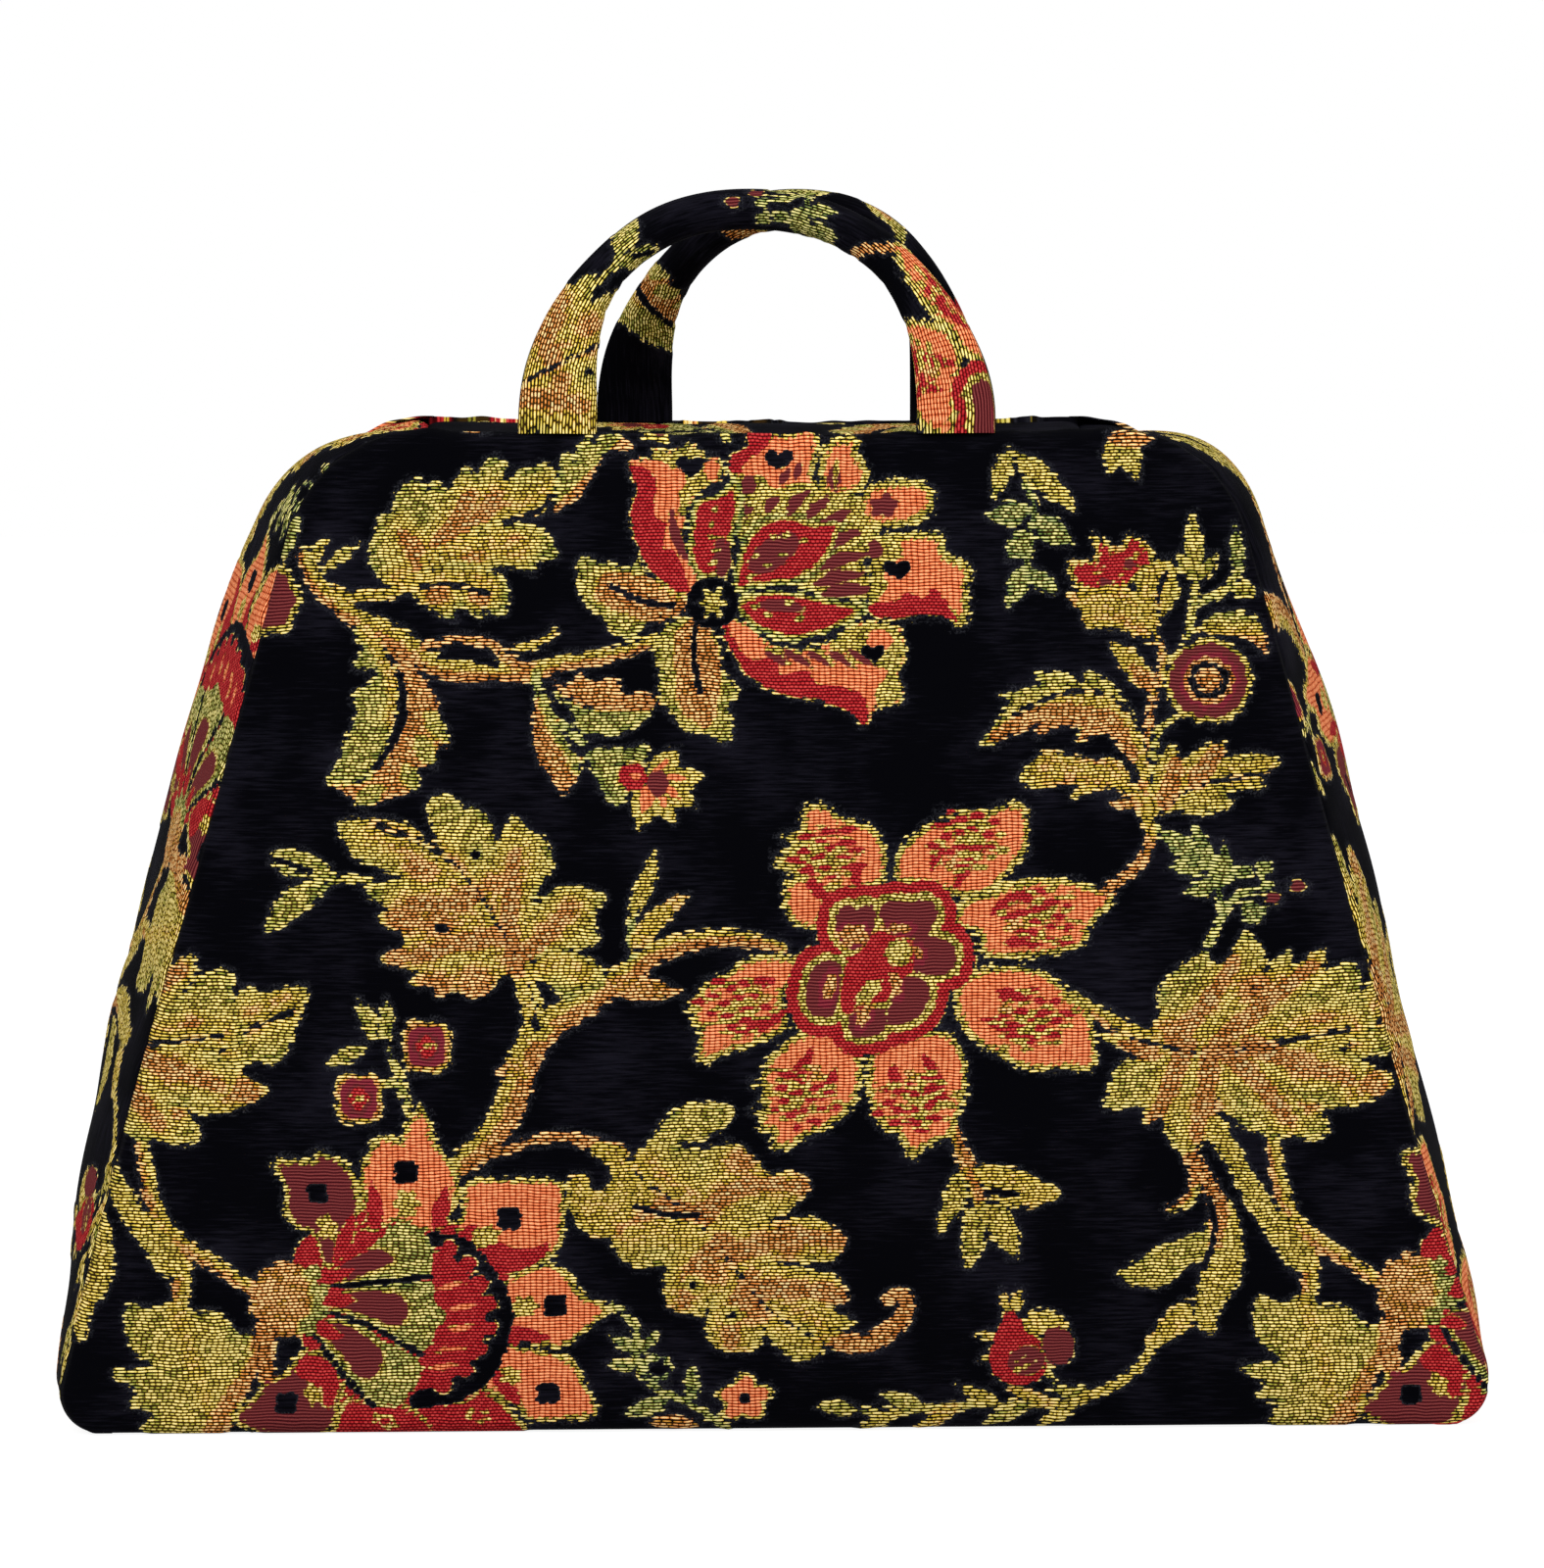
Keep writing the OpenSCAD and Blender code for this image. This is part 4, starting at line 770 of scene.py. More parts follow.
def right_leaf(loom):
    """The broad leaf at the right and the forked stem that hangs from it."""
    loom.line("gold", 0.5, (142, 100), (150, 87), (157, 74), (164, 64), (170, 55), w=(3.2, 3.0, 3.6, 4.0))
    loom.line("gold", 0.45, (97, 141), (108, 134), (118, 129), (130, 127), w=(1.8, 2.2, 1.6), under=0.9)
    leaf(loom, [[(112, 132), (126, 127), (142, 124), (161, 127), (188, 131)],
                [(130, 128), (140, 138), (150, 152)], [(145, 126), (160, 138), (176, 150)],
                [(134, 125), (128, 110), (124, 102)], [(142, 122), (140, 108), (137, 95)],
                [(148, 122), (160, 110), (168, 100)], [(155, 125), (172, 118), (188, 113)]], (106, 128),
         (119, 129), (125, 134), (125, 142), (130, 149), (133, 151), (140, 156), (142, 152), (148, 153),
         (153, 161), (158, 157), (160, 149), (156, 142), (161, 149), (168, 155), (170, 150), (179, 155),
         (179, 148), (175, 141), (181, 147), (187, 150), (191, 149), (192, 140), (195, 127), (181, 125),
         (191, 119), (191, 112), (181, 107), (172, 107), (166, 110), (173, 100), (172, 96), (163, 95),
         (154, 98), (147, 103), (144, 108), (143, 100), (140, 94), (133, 90), (127, 97), (126, 102),
         (121, 99), (119, 106), (108, 105), (109, 112), (112, 119), (119, 122), tone=0.36, warm=0.95, glow=5,
         blush=((157, 143, 8), (130, 129, 7), (172, 118, 7), (140, 105, 6), (180, 132, 5)))
    loom.blade("gold", 0.98, (124, 122), (112, 126), 2.0)


def right_acanthus(loom):
    """The acanthus leaves under the rosette, their curved stem and the small green plant."""
    loom.line("gold", 0.9, (124, 240), (122, 226), (121, 212), (121, 202), (123, 194), (120, 186), (114, 180),
              (108, 176), w=(0.8, 1.0, 1.6, 1.8, 1.5, 1.4, 1.6))
    leaf(loom, [[(121, 213), (117, 226), (109, 236), (96, 238), (78, 231)]], (121, 214), (119, 227),
         (113, 238), (108, 243), (102, 246), (101, 242), (94, 245), (85, 246), (86, 242), (74, 239),
         (76, 237), (71, 229), (67, 224), (73, 224), (78, 228), (86, 230), (85, 226), (92, 229), (100, 229),
         (99, 224), (108, 227), (113, 222), (118, 215), tone=0.33, warm=0.6, glow=4)
    loom.shape("gold", 0.98, (117, 218), (112, 230), (102, 234), (90, 235), (78, 231), (70, 225), (78, 227),
               (86, 230), (86, 226.5), (93, 229), (101, 229), (100, 225), (108, 227), (113, 222), rough=0.4)
    leaf(loom, [[(122, 196), (117, 207), (106, 214), (90, 214)]], (80, 213), (87, 220), (97, 219), (105, 217),
         (110, 218), (116, 211), (120, 203), (123, 193), (119, 202), (110, 209), (97, 206), (100, 210),
         (92, 210), (85, 209), tone=0.5, warm=0.98, glow=6, vein=False)
    loom.blade("gold", 0.8, (118, 203), (110, 204), 1.6)
    leaf(loom, [[(123, 201), (133, 209), (147, 213), (160, 214)], [(128, 205), (131, 216)],
                [(138, 211), (145, 220)]], (123, 200), (123, 209), (125, 217), (130, 222), (133, 217),
         (139, 221), (147, 223), (147, 218), (156, 219), (165, 217), (159, 211), (159, 208), (148, 207),
         (149, 203), (141, 200), (130, 201), tone=0.45, warm=0.9, glow=4)
    loom.shape("gold", 0.6, (110, 255), (117, 253), (122, 247), (125, 239), (119, 241), (113, 248))
    loom.blade("gold", 0.95, (124, 240), (117, 247), 1.6)
    loom.line("gold", 0.35, (124, 218), (125, 226), (130, 231), w=(0.6, 0.6, 0.6))
    loom.line("gold", 0.15, (141, 157), (147, 169), (153, 174), (162, 176), w=(0.8, 0.7, 0.6))
    loom.line("gold", 0.15, (146, 167), (145, 174), (143, 181), (136, 189), w=(0.6, 0.6, 0.5))
    for base, tip, half in (
            ((138, 185), (125, 195), 3.0), ((142, 182), (137, 196), 2.6), ((146, 176), (147, 190), 2.8),
            ((140, 182), (129, 183), 2.5), ((144, 177), (134, 175), 2.5)):
        loom.blade("gold", 0.12, base, tip, half)
    for u, v, r in ((153, 181, 2.8), (160, 182, 2.6), (156, 168, 4.0), (160, 176, 2.0)):
        loom.disc("gold", 0.1, (u, v), r, r * 0.9, lobes=3, bite=0.15)
    for u, v in ((171, 176), (163, 172)):
        loom.disc("burgundy", 0.5, (u, v), 2.4, 1.6)


def top_twigs(loom):
    """The green twigs, bud and small leaves along the top."""
    loom.line("gold", 0.1, (82, 308), (85, 299), (83, 290), (82, 279), w=(0.5, 0.6, 0.6))
    for base, tip, half, tone in (
            ((77, 318), (72, 303), 2.7, 0.42), ((79, 317), (98, 299), 3.6, 0.45),
            ((83, 298), (70, 297), 3.6, 0.08), ((85, 295), (97, 288), 4.0, 0.08),
            ((84, 291), (76, 283), 3.8, 0.08), ((82, 280), (76, 268), 3.0, 0.1),
            ((83, 279), (92, 272), 2.6, 0.1), ((112, 321), (110, 311), 3.2, 0.5),
            ((114, 321), (119, 309), 3.4, 0.45), ((138, 274), (137, 297), 3.0, 0.4),
            ((137, 276), (132, 284), 2.0, 0.4), ((139, 276), (145, 284), 2.0, 0.4),
            ((152, 277), (151, 293), 2.1, 0.2), ((150, 273), (158, 271), 2.6, 0.4)):
        loom.blade("gold", tone, base, tip, half)
    loom.blade("gold", 0.95, (110, 322), (124, 321), 2.0)
    loom.line("gold", 0.35, (138, 275), (137, 267), (135, 256), w=(0.6, 0.7, 0.6))
    loom.line("gold", 0.3, (137, 268), (146, 271), (151, 277), w=(0.7, 0.7, 0.6))
    loom.shape("gold", lambda u, v: np.clip(0.4 + (262 - v) * 0.08, 0.3, 1.0), (139, 260), (146, 265),
               (156, 264), (160, 259), (161, 252), (155, 257), (147, 258))
    for base, tip, half, tone in (((-100, 325), (-80, 331), 2.4, 0.7), ((-22, 331), (-14, 321), 2.2, 0.3),
                                  ((-22, 329), (2, 333), 3.2, 0.4)):
        loom.blade("gold", tone, base, tip, half)
    loom.disc("gold", 0.5, (-37, 324), 5, 3.4, lobes=5, bite=0.2)
    loom.disc("burgundy", 0.5, (-37, 325), 3.4, 2.2)
    leaf(loom, [[(-150, 345), (-120, 350), (-92, 340)]], (-158, 343), (-148, 352), (-132, 360), (-112, 360),
         (-98, 350), (-86, 338), (-104, 336), (-116, 340), (-132, 336), (-146, 337), tone=0.35, warm=0.95,
         glow=6)
    leaf(loom, [[(20, 350), (48, 356), (80, 346)]], (10, 348), (22, 358), (42, 366), (66, 362), (84, 350),
         (96, 340), (76, 338), (58, 344), (40, 340), (24, 341), tone=0.35, warm=0.85, glow=6)


MOTIFS = (left_edge_leaf, upper_left_branch, palmette, middle_left_leaf, lower_leaf, tulip_flower,
          lower_right_group, right_leaf, starflower, right_acanthus, carnation, rosette, top_twigs)


def weave(u, v):
    """The yarns at each point of a cloth, given where it lies on the repeat."""
    loom = Loom(np.asarray(u, float).ravel(), np.asarray(v, float).ravel())
    for motif in MOTIFS:
        motif(loom)
    return loom


# The cut: the sewn pieces' shapes in millimetres, from the same sizes as the solids

SEAM_GAP = 0.2  # between two pieces that meet in a seam
FLOOR_GAP = 0.2  # under the lowest edge
LOW_POINTS, HIGH_POINTS = 60, 90  # of a bottom and a top corner
PANEL_STEP, PANEL_COLUMNS = 1.17, 281
STRIP_STEP, STRIP_COLUMNS = 1.5, 117
TOP_COLUMNS, SLOPE_ROWS, HEM_ROWS = 176, 40, 8
TAPE_COLUMNS, TAPE_ROWS = 141, 34
BASE_COLUMNS, BASE_ROWS = 205, 85
HANDLE_SAMPLES, HANDLE_RINGS, HANDLE_SIDES = 241, 231, 44
ARCH_POWER, LEAN_POWER = 2 / 2.2, 1.7  # how square a handle's arch is, and how late the handle leans in
GROOVE, GROOVE_REACH = 3.0, 2.5  # how deep a strip sinks into its seams, and how fast
END_DIP, END_REACH = 1.6, 2.0  # the same at the seams that end the strips
SAG_FROM, SAG_OVER = 250, 76  # heights that the sag of the top edges grows over
WAVE_FROM, WAVE_OVER = 296, 30  # heights that the uneven top edges grow over
SWELL_LIFT, SWELL_FULLNESS = 1.25, 0.65  # how high on a side strip its bulge lies, and how blunt it is
SETTLE, SETTLE_BELOW = 2.0, 110  # how far the foot has settled to the right, and below which height
TAB_ROOM, TAB_HALF, TAB_REACH = 1.6, 6.5, 26  # dent that leaves room for the pull tab at the end of its way
LIFT_FROM, LIFT_OVER = 0.8, 1.4  # depths in a shape that its yarns rise over
FIELD_LIMIT = 6  # largest depth that is kept with a cloth


class Cut:
    """The bag's seam outline and depth in millimetres, shared by every piece that is sewn along it."""

    def __init__(self, sizes):
        for name in BagSizes.__annotations__:
            setattr(self, name, getattr(sizes, name) / MM)
        self.lean = math.atan2((self.bottom_w - self.top_w) / 2, self.bag_h)
        self.base_half = self.corner(self.bottom_w / 2, self.bottom_corner_r, 90 + math.degrees(self.lean))
        self.run_half = self.corner(self.top_w / 2, self.top_corner_r, 90 - math.degrees(self.lean))
        self.seam_in = self.cloth_t + SEAM_GAP

    def corner(self, half, radius, turn):
        """Where a rounded corner starts, given how far the edge turns there."""
        return half - radius * math.tan(math.radians(turn) / 2)

    def outline(self, step):
        """The right half of the front's seam from the floor up: points, outward normals and run lengths."""
        lean = math.degrees(self.lean)
        low, high = self.bottom_corner_r, self.top_corner_r
        angles = np.radians(np.concatenate([np.linspace(-90, lean, LOW_POINTS),
                                            np.linspace(lean, 90, HIGH_POINTS)]))
        is_low = np.arange(LOW_POINTS + HIGH_POINTS) < LOW_POINTS
        centre = np.where(is_low[:, None], [self.base_half, low], [self.run_half, self.bag_h - high])
        radius = np.where(is_low, low, high)
        normal = np.stack([np.cos(angles), np.sin(angles)], 1)
        points = centre + radius[:, None] * normal
        run = lengths(points)
        at = np.linspace(0, run[-1], int(round(run[-1] / step)) + 1)
        points = np.stack([np.interp(at, run, points[:, k]) for k in (0, 1)], 1)
        turn = np.interp(at, run, angles)
        return points, np.stack([np.cos(turn), np.sin(turn)], 1), at

    def half_depth(self, z):
        return mix(self.base_depth, self.top_depth, z / self.bag_h) / 2

    def valley(self, y):
        """How deep the top lies below its seams, from the seam to the zip."""
        edge = self.top_depth / 2 - self.seam_in
        flat = self.zip_slot / 2 + self.hem_w
        return self.zip_drop * np.clip((edge - np.abs(y)) / (edge - flat), 0, 1)


def roll(depth, radius):
    """How far a cloth edge has turned away from its face, at a distance inside the edge."""
    t = np.clip(1.0 - depth / radius, 0.0, 1.0)
    return radius * (1.0 - np.sqrt(1.0 - t * t))


def ripple(along, seed, waves=((31, 1.0), (17, 0.7), (53, 0.8), (11, 0.45))):
    """An uneven wave along a seam, as a mix of a few wave lengths."""
    return sum(h * np.sin(2 * np.pi * along / w + seed * (k + 1.7)) for k, (w, h) in enumerate(waves)) / 2.0


def swell(u, v, seed):
    """The soft unevenness of filled cloth, about one unit high."""
    return (np.sin(u / 47 + seed) * np.sin(v / 39 + 2.1 * seed) + 0.6 * np.sin(u / 23 - v / 31 + 1.3 * seed)
            + 0.35 * np.sin(u / 13 + v / 17 + 0.7 * seed))


def sunk(distance, depth, reach):
    """How deep a cloth lies at a distance from a seam that draws it in."""
    return depth * np.exp(-distance / reach)


def hemmed(grid):
    """A grid with one more row and column at each edge, to be turned in."""
    return np.pad(grid, ((1, 1), (1, 1)) + ((0, 0),) * (grid.ndim - 2), mode="edge")


def lengths(points):
    """Run lengths along a line of points."""
    return np.concatenate([[0.0], np.cumsum(np.linalg.norm(np.diff(points, axis=0), axis=1))])


def grid_normals(points, outward):
    """Unit normals of a grid of points, on the side that the cloth shows."""
    across = np.gradient(points, axis=1)
    up = np.gradient(points, axis=0)
    normal = np.cross(across, up) * outward
    return normal / np.maximum(np.linalg.norm(normal, axis=2, keepdims=True), 1e-9)


def sheet_mesh(name, points, outward, closed=False):
    """A cloth mesh from a grid of points in mm."""
    rows, cols = points.shape[:2]
    index = np.arange(rows * cols).reshape(rows, cols)
    right = np.roll(index, -1, 1) if closed else index
    a, b = (index[:-1], right[:-1]) if closed else (index[:-1, :-1], index[:-1, 1:])
    c, d = (right[1:], index[1:]) if closed else (index[1:, 1:], index[1:, :-1])
    quads = np.stack([a, b, c, d] if outward > 0 else [a, d, c, b], -1).reshape(-1, 4)
    mesh = bpy.data.meshes.new(name)
    mesh.from_pydata((points.reshape(-1, 3) * MM).tolist(), [], quads.tolist())
    mesh.polygons.foreach_set("use_smooth", np.ones(len(mesh.polygons), bool))
    mesh.update()
    piece = bpy.data.objects.new(name, mesh)
    bpy.context.scene.collection.objects.link(piece)
    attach(piece, "bag")
    return piece


def sew(name, points, fabric, outward, lift, closed=False):
    """A tapestry piece from a grid of points in mm, its place on the fabric and the yarns woven there."""
    loom = weave(fabric[..., 0], fabric[..., 1])
    inside = loom.cover.reshape(points.shape[:2])
    raised = lift * smooth((inside + LIFT_FROM) / LIFT_OVER)
    points = points + grid_normals(points, outward) * raised[..., None]
    points[..., 0] += SETTLE * smooth(1 - points[..., 2] / SETTLE_BELOW)
    piece = sheet_mesh(name, points, outward, closed)
    mesh = piece.data
    at = np.empty(len(mesh.loops), np.int32)
    mesh.loops.foreach_get("vertex_index", at)
    uv = fabric.reshape(-1, 2)[at].astype(np.float32).ravel()
    mesh.uv_layers.new(name="fabric").data.foreach_set("uv", uv)
    for field, values in dict(loom.depth, cover=loom.cover, tone=loom.tone).items():
        kept = np.clip(values, -FIELD_LIMIT, FIELD_LIMIT).astype(np.float32)
        mesh.attributes.new(field, "FLOAT", "POINT").data.foreach_set("value", kept)
    mesh.materials.append(tapestry_cloth())
    return piece


def panel(cut, name, facing, place):
    """The front or back: a crowned trapezoid whose edges roll into the seams with small gathers."""
    line, _, run = cut.outline(PANEL_STEP)
    columns = np.linspace(-1, 1, PANEL_COLUMNS)
    half, z = line[:, :1], np.repeat(line[:, 1:], PANEL_COLUMNS, 1)
    x = columns * half
    loop = np.vstack([line, line[::-1] * (-1, 1)])
    edge = np.maximum(outline_depth(x.ravel(), z.ravel(), loop).reshape(x.shape), 0.0)
    crown = cut.panel_crown * (1 - columns ** 2) * np.abs(np.sin(np.pi * z / cut.bag_h)) ** 0.7
    along = np.where(np.abs(columns) > 0.9, run[:, None], x)
    fade = np.exp(-edge / 14)
    gather = cut.pucker * fade * ripple(along, 1.1 * facing) * np.clip(edge / 4, 0, 1)
    soft = 1.5 * (1 - fade) * swell(x, z, 0.8 * facing)
    out = cut.half_depth(z) + crown - roll(edge, cut.seam_roll) + gather + soft
    z = z - cut.sag * (1 - columns ** 2) * np.clip((z - SAG_FROM) / SAG_OVER, 0, 1) ** 2
    z = z - 0.5 * np.clip((z - WAVE_FROM) / WAVE_OVER, 0, 1) * ripple(x, 4.0 + facing)
    z = np.maximum(z, FLOOR_GAP)
    points = np.stack([x * facing, -out * facing, z], 2)
    rim = hemmed(points)
    rim[:, 0, 0] += 3.0 * facing
    rim[:, -1, 0] -= 3.0 * facing
    rim[0, :, 2] += 2.0
    rim[-1, :, 2] -= 3.0
    rim[[0, -1], :, 1] += 1.2 * facing
    rim[:, [0, -1], 1] += 1.2 * facing
    fabric = place(hemmed(x), hemmed(points[..., 2]))
    return sew(name, rim, fabric, 1, cut.yarn_lift)


def side_strip(cut, name, side, place):
    """A side strip: it swells between its seams, follows them round the top corner and dips to the zip."""
    line, normal, run = cut.outline(STRIP_STEP)
    across = np.linspace(-1, 1, STRIP_COLUMNS)
    turn = np.arctan2(normal[:, 1], normal[:, 0])
    dip = smooth((turn - cut.lean) / (np.pi / 2 - cut.lean))[:, None]
    half = cut.half_depth(line[:, 1:]) - cut.seam_in
    y = across * half
    swelling = np.maximum(np.sin(np.pi * (run / run[-1]) ** SWELL_LIFT), 0.0)[:, None] ** SWELL_FULLNESS
    bulge = cut.gusset_bulge * (1 - dip) * swelling
    edge = (1 - np.abs(across)) * half
    fade = np.exp(-edge / 12)
    groove = sunk(edge, GROOVE, GROOVE_REACH)
    gather = cut.pucker * fade * ripple(run[:, None], 2.3 * side + np.sign(across)) * np.clip(edge / 4, 0, 1)
    soft = 1.6 * (1 - fade) * swell(run[:, None], y * 1.4, 3.0 * side) * np.clip(run / 40, 0, 1)[:, None]
    left = run[-1] - run[:, None]
    end = sunk(left, END_DIP, END_REACH)
    corner = 2.5 * np.sin(np.pi * dip) * (1 - across ** 2)
    room = TAB_ROOM * np.exp(-(y / TAB_HALF) ** 4) * np.clip(1 - left / TAB_REACH, 0, 1) ** 0.5
    push = bulge * (1 - across ** 2) - cut.valley(y) * dip ** 2 + corner - groove + gather + soft - end - room
    x = line[:, :1] + normal[:, :1] * push
    z = line[:, 1:] + np.where(normal[:, 1:] < 0, 0, normal[:, 1:]) * push
    points = np.stack([x * side, y, np.maximum(z, FLOOR_GAP)], 2)
    rim = hemmed(points)
    rim[:, [0, -1], 0] -= 2.5 * side
    rim[-1, :, 2] -= 3.0
    rim[0, :, 0] -= 4.0 * side
    fabric = place(hemmed(np.repeat(run[:, None], STRIP_COLUMNS, 1)), hemmed(y))
    return sew(name, rim, fabric, side, cut.yarn_lift)


def top_strip(cut, name, facing, place):
    """A top strip: it slopes from the seam down to a flat hem beside the zip, and turns under there."""
    edge_y = cut.top_depth / 2 - cut.seam_in
    flat, inner = cut.zip_slot / 2 + cut.hem_w, cut.zip_slot / 2
    x = np.linspace(-1, 1, TOP_COLUMNS) * (cut.run_half - SEAM_GAP)
    y = np.concatenate([np.linspace(edge_y, flat + 0.5, SLOPE_ROWS),
                        np.linspace(flat - 0.5, inner, HEM_ROWS)])
    x, y = np.meshgrid(x, y)
    seam = edge_y - y
    ends = cut.run_half - SEAM_GAP - np.abs(x)
    sag = cut.sag * (1 - (x / cut.run_half) ** 2) * np.clip((y - flat) / (edge_y - flat), 0, 1)
    z = cut.bag_h - cut.valley(y) - sunk(seam, GROOVE, GROOVE_REACH) - sunk(ends, END_DIP, END_REACH) - sag
    z = (z + 0.9 * swell(x * 1.3, y * 1.5, 5 + facing) * np.clip(seam / 15, 0, 1)
         * np.clip((y - flat) / 12, 0, 1))
    z = z + np.where(y < flat, 0.5 - 0.5 * np.abs(y - (flat + inner) / 2) / 4, -0.5 * np.exp(-(y - flat) / 2))
    points = np.stack([x * facing, -y * facing, z], 2)
    rim = hemmed(points)
    rim[[0, -1], :, 2] -= 2.2
    rim[:, [0, -1], 2] -= 2.0
    fabric = place(hemmed(x), hemmed(edge_y - y))
    return sew(name, rim, fabric, 1, cut.yarn_lift)


def arch(cut, angle, span):
    """A point on a handle's middle line, and the handle's direction there."""
    def point(a):
        c, s = np.cos(a), np.sin(a)
        rise = np.abs(s) ** ARCH_POWER
        lean_in = cut.handle_d / 2 + cut.handle_gap / 2
        start = cut.top_depth / 2 - cut.foot_t / 2
        x = -np.sign(c) * span / 2 * np.abs(c) ** ARCH_POWER
        y = mix(-start, -lean_in, rise ** LEAN_POWER)
        return np.stack([x, y, cut.bag_h + 0.4 + cut.handle_rise * rise], -1)

    along = point(angle + 1e-3) - point(angle - 1e-3)
    return point(angle), along / np.linalg.norm(along, axis=-1, keepdims=True)


def handle(cut, name, facing, span, shift, place):
    """A rolled handle: flat feet in the top seam, round above, with the dents and creases of filled cloth."""
    sweep = np.radians(np.linspace(0.6, 179.4, HANDLE_SAMPLES))
    run = lengths(arch(cut, sweep, span)[0])
    even = np.linspace(0, run[-1], HANDLE_RINGS)
    sweep = np.interp(even, run, sweep)
    middle, along = arch(cut, sweep, span)
    across = np.cross([0.0, -1.0, 0.0], along)
    across /= np.linalg.norm(across, axis=1, keepdims=True)
    out = np.cross(along, across)
    rolled = smooth(np.degrees(np.minimum(sweep, np.pi - sweep)) / 50)[:, None]
    turn = np.linspace(0, 2 * np.pi, HANDLE_SIDES, endpoint=False)
    wide, thick = mix(cut.foot_w, cut.handle_d, rolled) / 2, mix(cut.foot_t, cut.handle_d, rolled) / 2
    power = mix(0.8, 1.0, rolled)
    c, s = np.cos(turn), np.sin(turn)
    ring = (across[:, None] * (wide * np.sign(c) * np.abs(c) ** power)[..., None]
            + out[:, None] * (thick * np.sign(s) * np.abs(s) ** power)[..., None])
    u = even[:, None]
    dent = 1 + 0.022 * swell(u * 2.2, turn * 26, 1.4 + facing) - 0.05 * np.exp(-((turn - 4.3) / 0.16) ** 2)
    for place_along in (0.2, 0.27, 0.74, 0.82):
        fold = (u / even[-1] - place_along) * even[-1] - 3 * np.sin(turn + 5 * place_along)
        dent = dent - 0.05 * np.exp(-(fold / 2.2) ** 2) * np.clip(0.3 - np.sin(turn + 9 * place_along), 0, 1)
    points = middle[:, None] + ring * dent[..., None]
    foot = np.clip(1 - np.minimum(even, even[-1] - even) / 3, 0, 1)[:, None]
    points[..., 2] -= 3.0 * foot
    points = points * (facing, facing, 1) + (shift, 0, 0)
    girth = np.pad(np.cumsum(np.linalg.norm(np.diff(points, axis=1), axis=2), axis=1), ((0, 0), (1, 0)))
    girth = girth - girth[:, [HANDLE_SIDES // 4]] + np.pi * cut.handle_d / 4
    fabric = place(np.broadcast_to(u, girth.shape), girth)
    return sew(name, points, fabric, -1, cut.yarn_lift, closed=True)


def zip_tape(cut, name, facing):
    """A woven tape under the hem, its inner edge thickened to a bead that carries the teeth."""
    x, y = np.meshgrid(np.linspace(-1, 1, TAPE_COLUMNS) * (cut.run_half - SEAM_GAP),
                       np.linspace(cut.zip_slot / 2 + cut.hem_w, cut.chain_w / 2, TAPE_ROWS))
    inner = y - cut.chain_w / 2
    z = cut.bag_h - cut.zip_drop - cut.cloth_t - 0.3 + 0.35 * np.exp(-((inner - 0.9) / 0.6) ** 2)
    z = (z + 0.12 * np.sin(x / 9.0 + facing) * np.clip(inner / 2, 0, 1)
         * np.clip((cut.zip_slot / 2 - y) / 2, 0, 1))
    points = np.stack([x * facing, -y * facing, z], 2)
    points = hemmed(points)
    points[[0, -1], :, 2] -= 0.7
    points[:, [0, -1], 2] -= 0.7
    return sheet_mesh(name, points, 1)


def base(cut, name, place):
    """The base cloth under the bag, its edges turned up into the seams."""
    half_x, half_y = cut.base_half - SEAM_GAP, cut.base_depth / 2 - cut.seam_in
    x, y = np.meshgrid(np.linspace(-half_x, half_x, BASE_COLUMNS), np.linspace(-half_y, half_y, BASE_ROWS))
    edge = np.minimum(half_x - np.abs(x), half_y - np.abs(y))
    z = 0.15 + 2.0 * np.exp(-edge / 2.0) + 0.25 * (1 + swell(x, y, 7.0) / 2) * np.clip(edge / 10, 0, 1)
    return sew(name, np.stack([x, y, z], 2), place(x, y), -1, 0.0)


# The finishes

MATH, MIX, NOISE, RANGE = "ShaderNodeMath", "ShaderNodeMix", "ShaderNodeTexNoise", "ShaderNodeMapRange"
PRINCIPLED, OUTPUT = "ShaderNodeBsdfPrincipled", "ShaderNodeOutputMaterial"
DASH, SHORT, BEAD, COLUMN = 3.4, 1.9, 1.45, 1.9  # mm along a row


def add(tree, kind, inputs=(), **settings):
    """Adds a node with its settings, and sets or links its inputs, by name or in the order that they show."""
    node = tree.nodes.new(kind)
    for name, value in settings.items():
        setattr(node, name, value)
    shown = [socket for socket in node.inputs if socket.enabled]
    if isinstance(inputs, dict):
        pairs = [(next(s for s in shown if s.name == key), value) for key, value in inputs.items()]
    else:
        pairs = zip(shown, inputs)
    for socket, value in pairs:
        if isinstance(value, bpy.types.Node):
            value = next(s for s in value.outputs if s.enabled)
        if isinstance(value, bpy.types.NodeSocket):
            tree.links.new(value, socket)
        elif value is not None:
            socket.default_value = (*value, 1.0) if socket.type == "RGBA" else value
    return node


def blank(name):
    """A material of that name with an empty node tree, or the one that is there already."""
    old = bpy.data.materials.get(name)
    if old:
        return old, None
    material = bpy.data.materials.new(name)
    material.use_nodes = True
    material.node_tree.nodes.clear()
    return material, material.node_tree


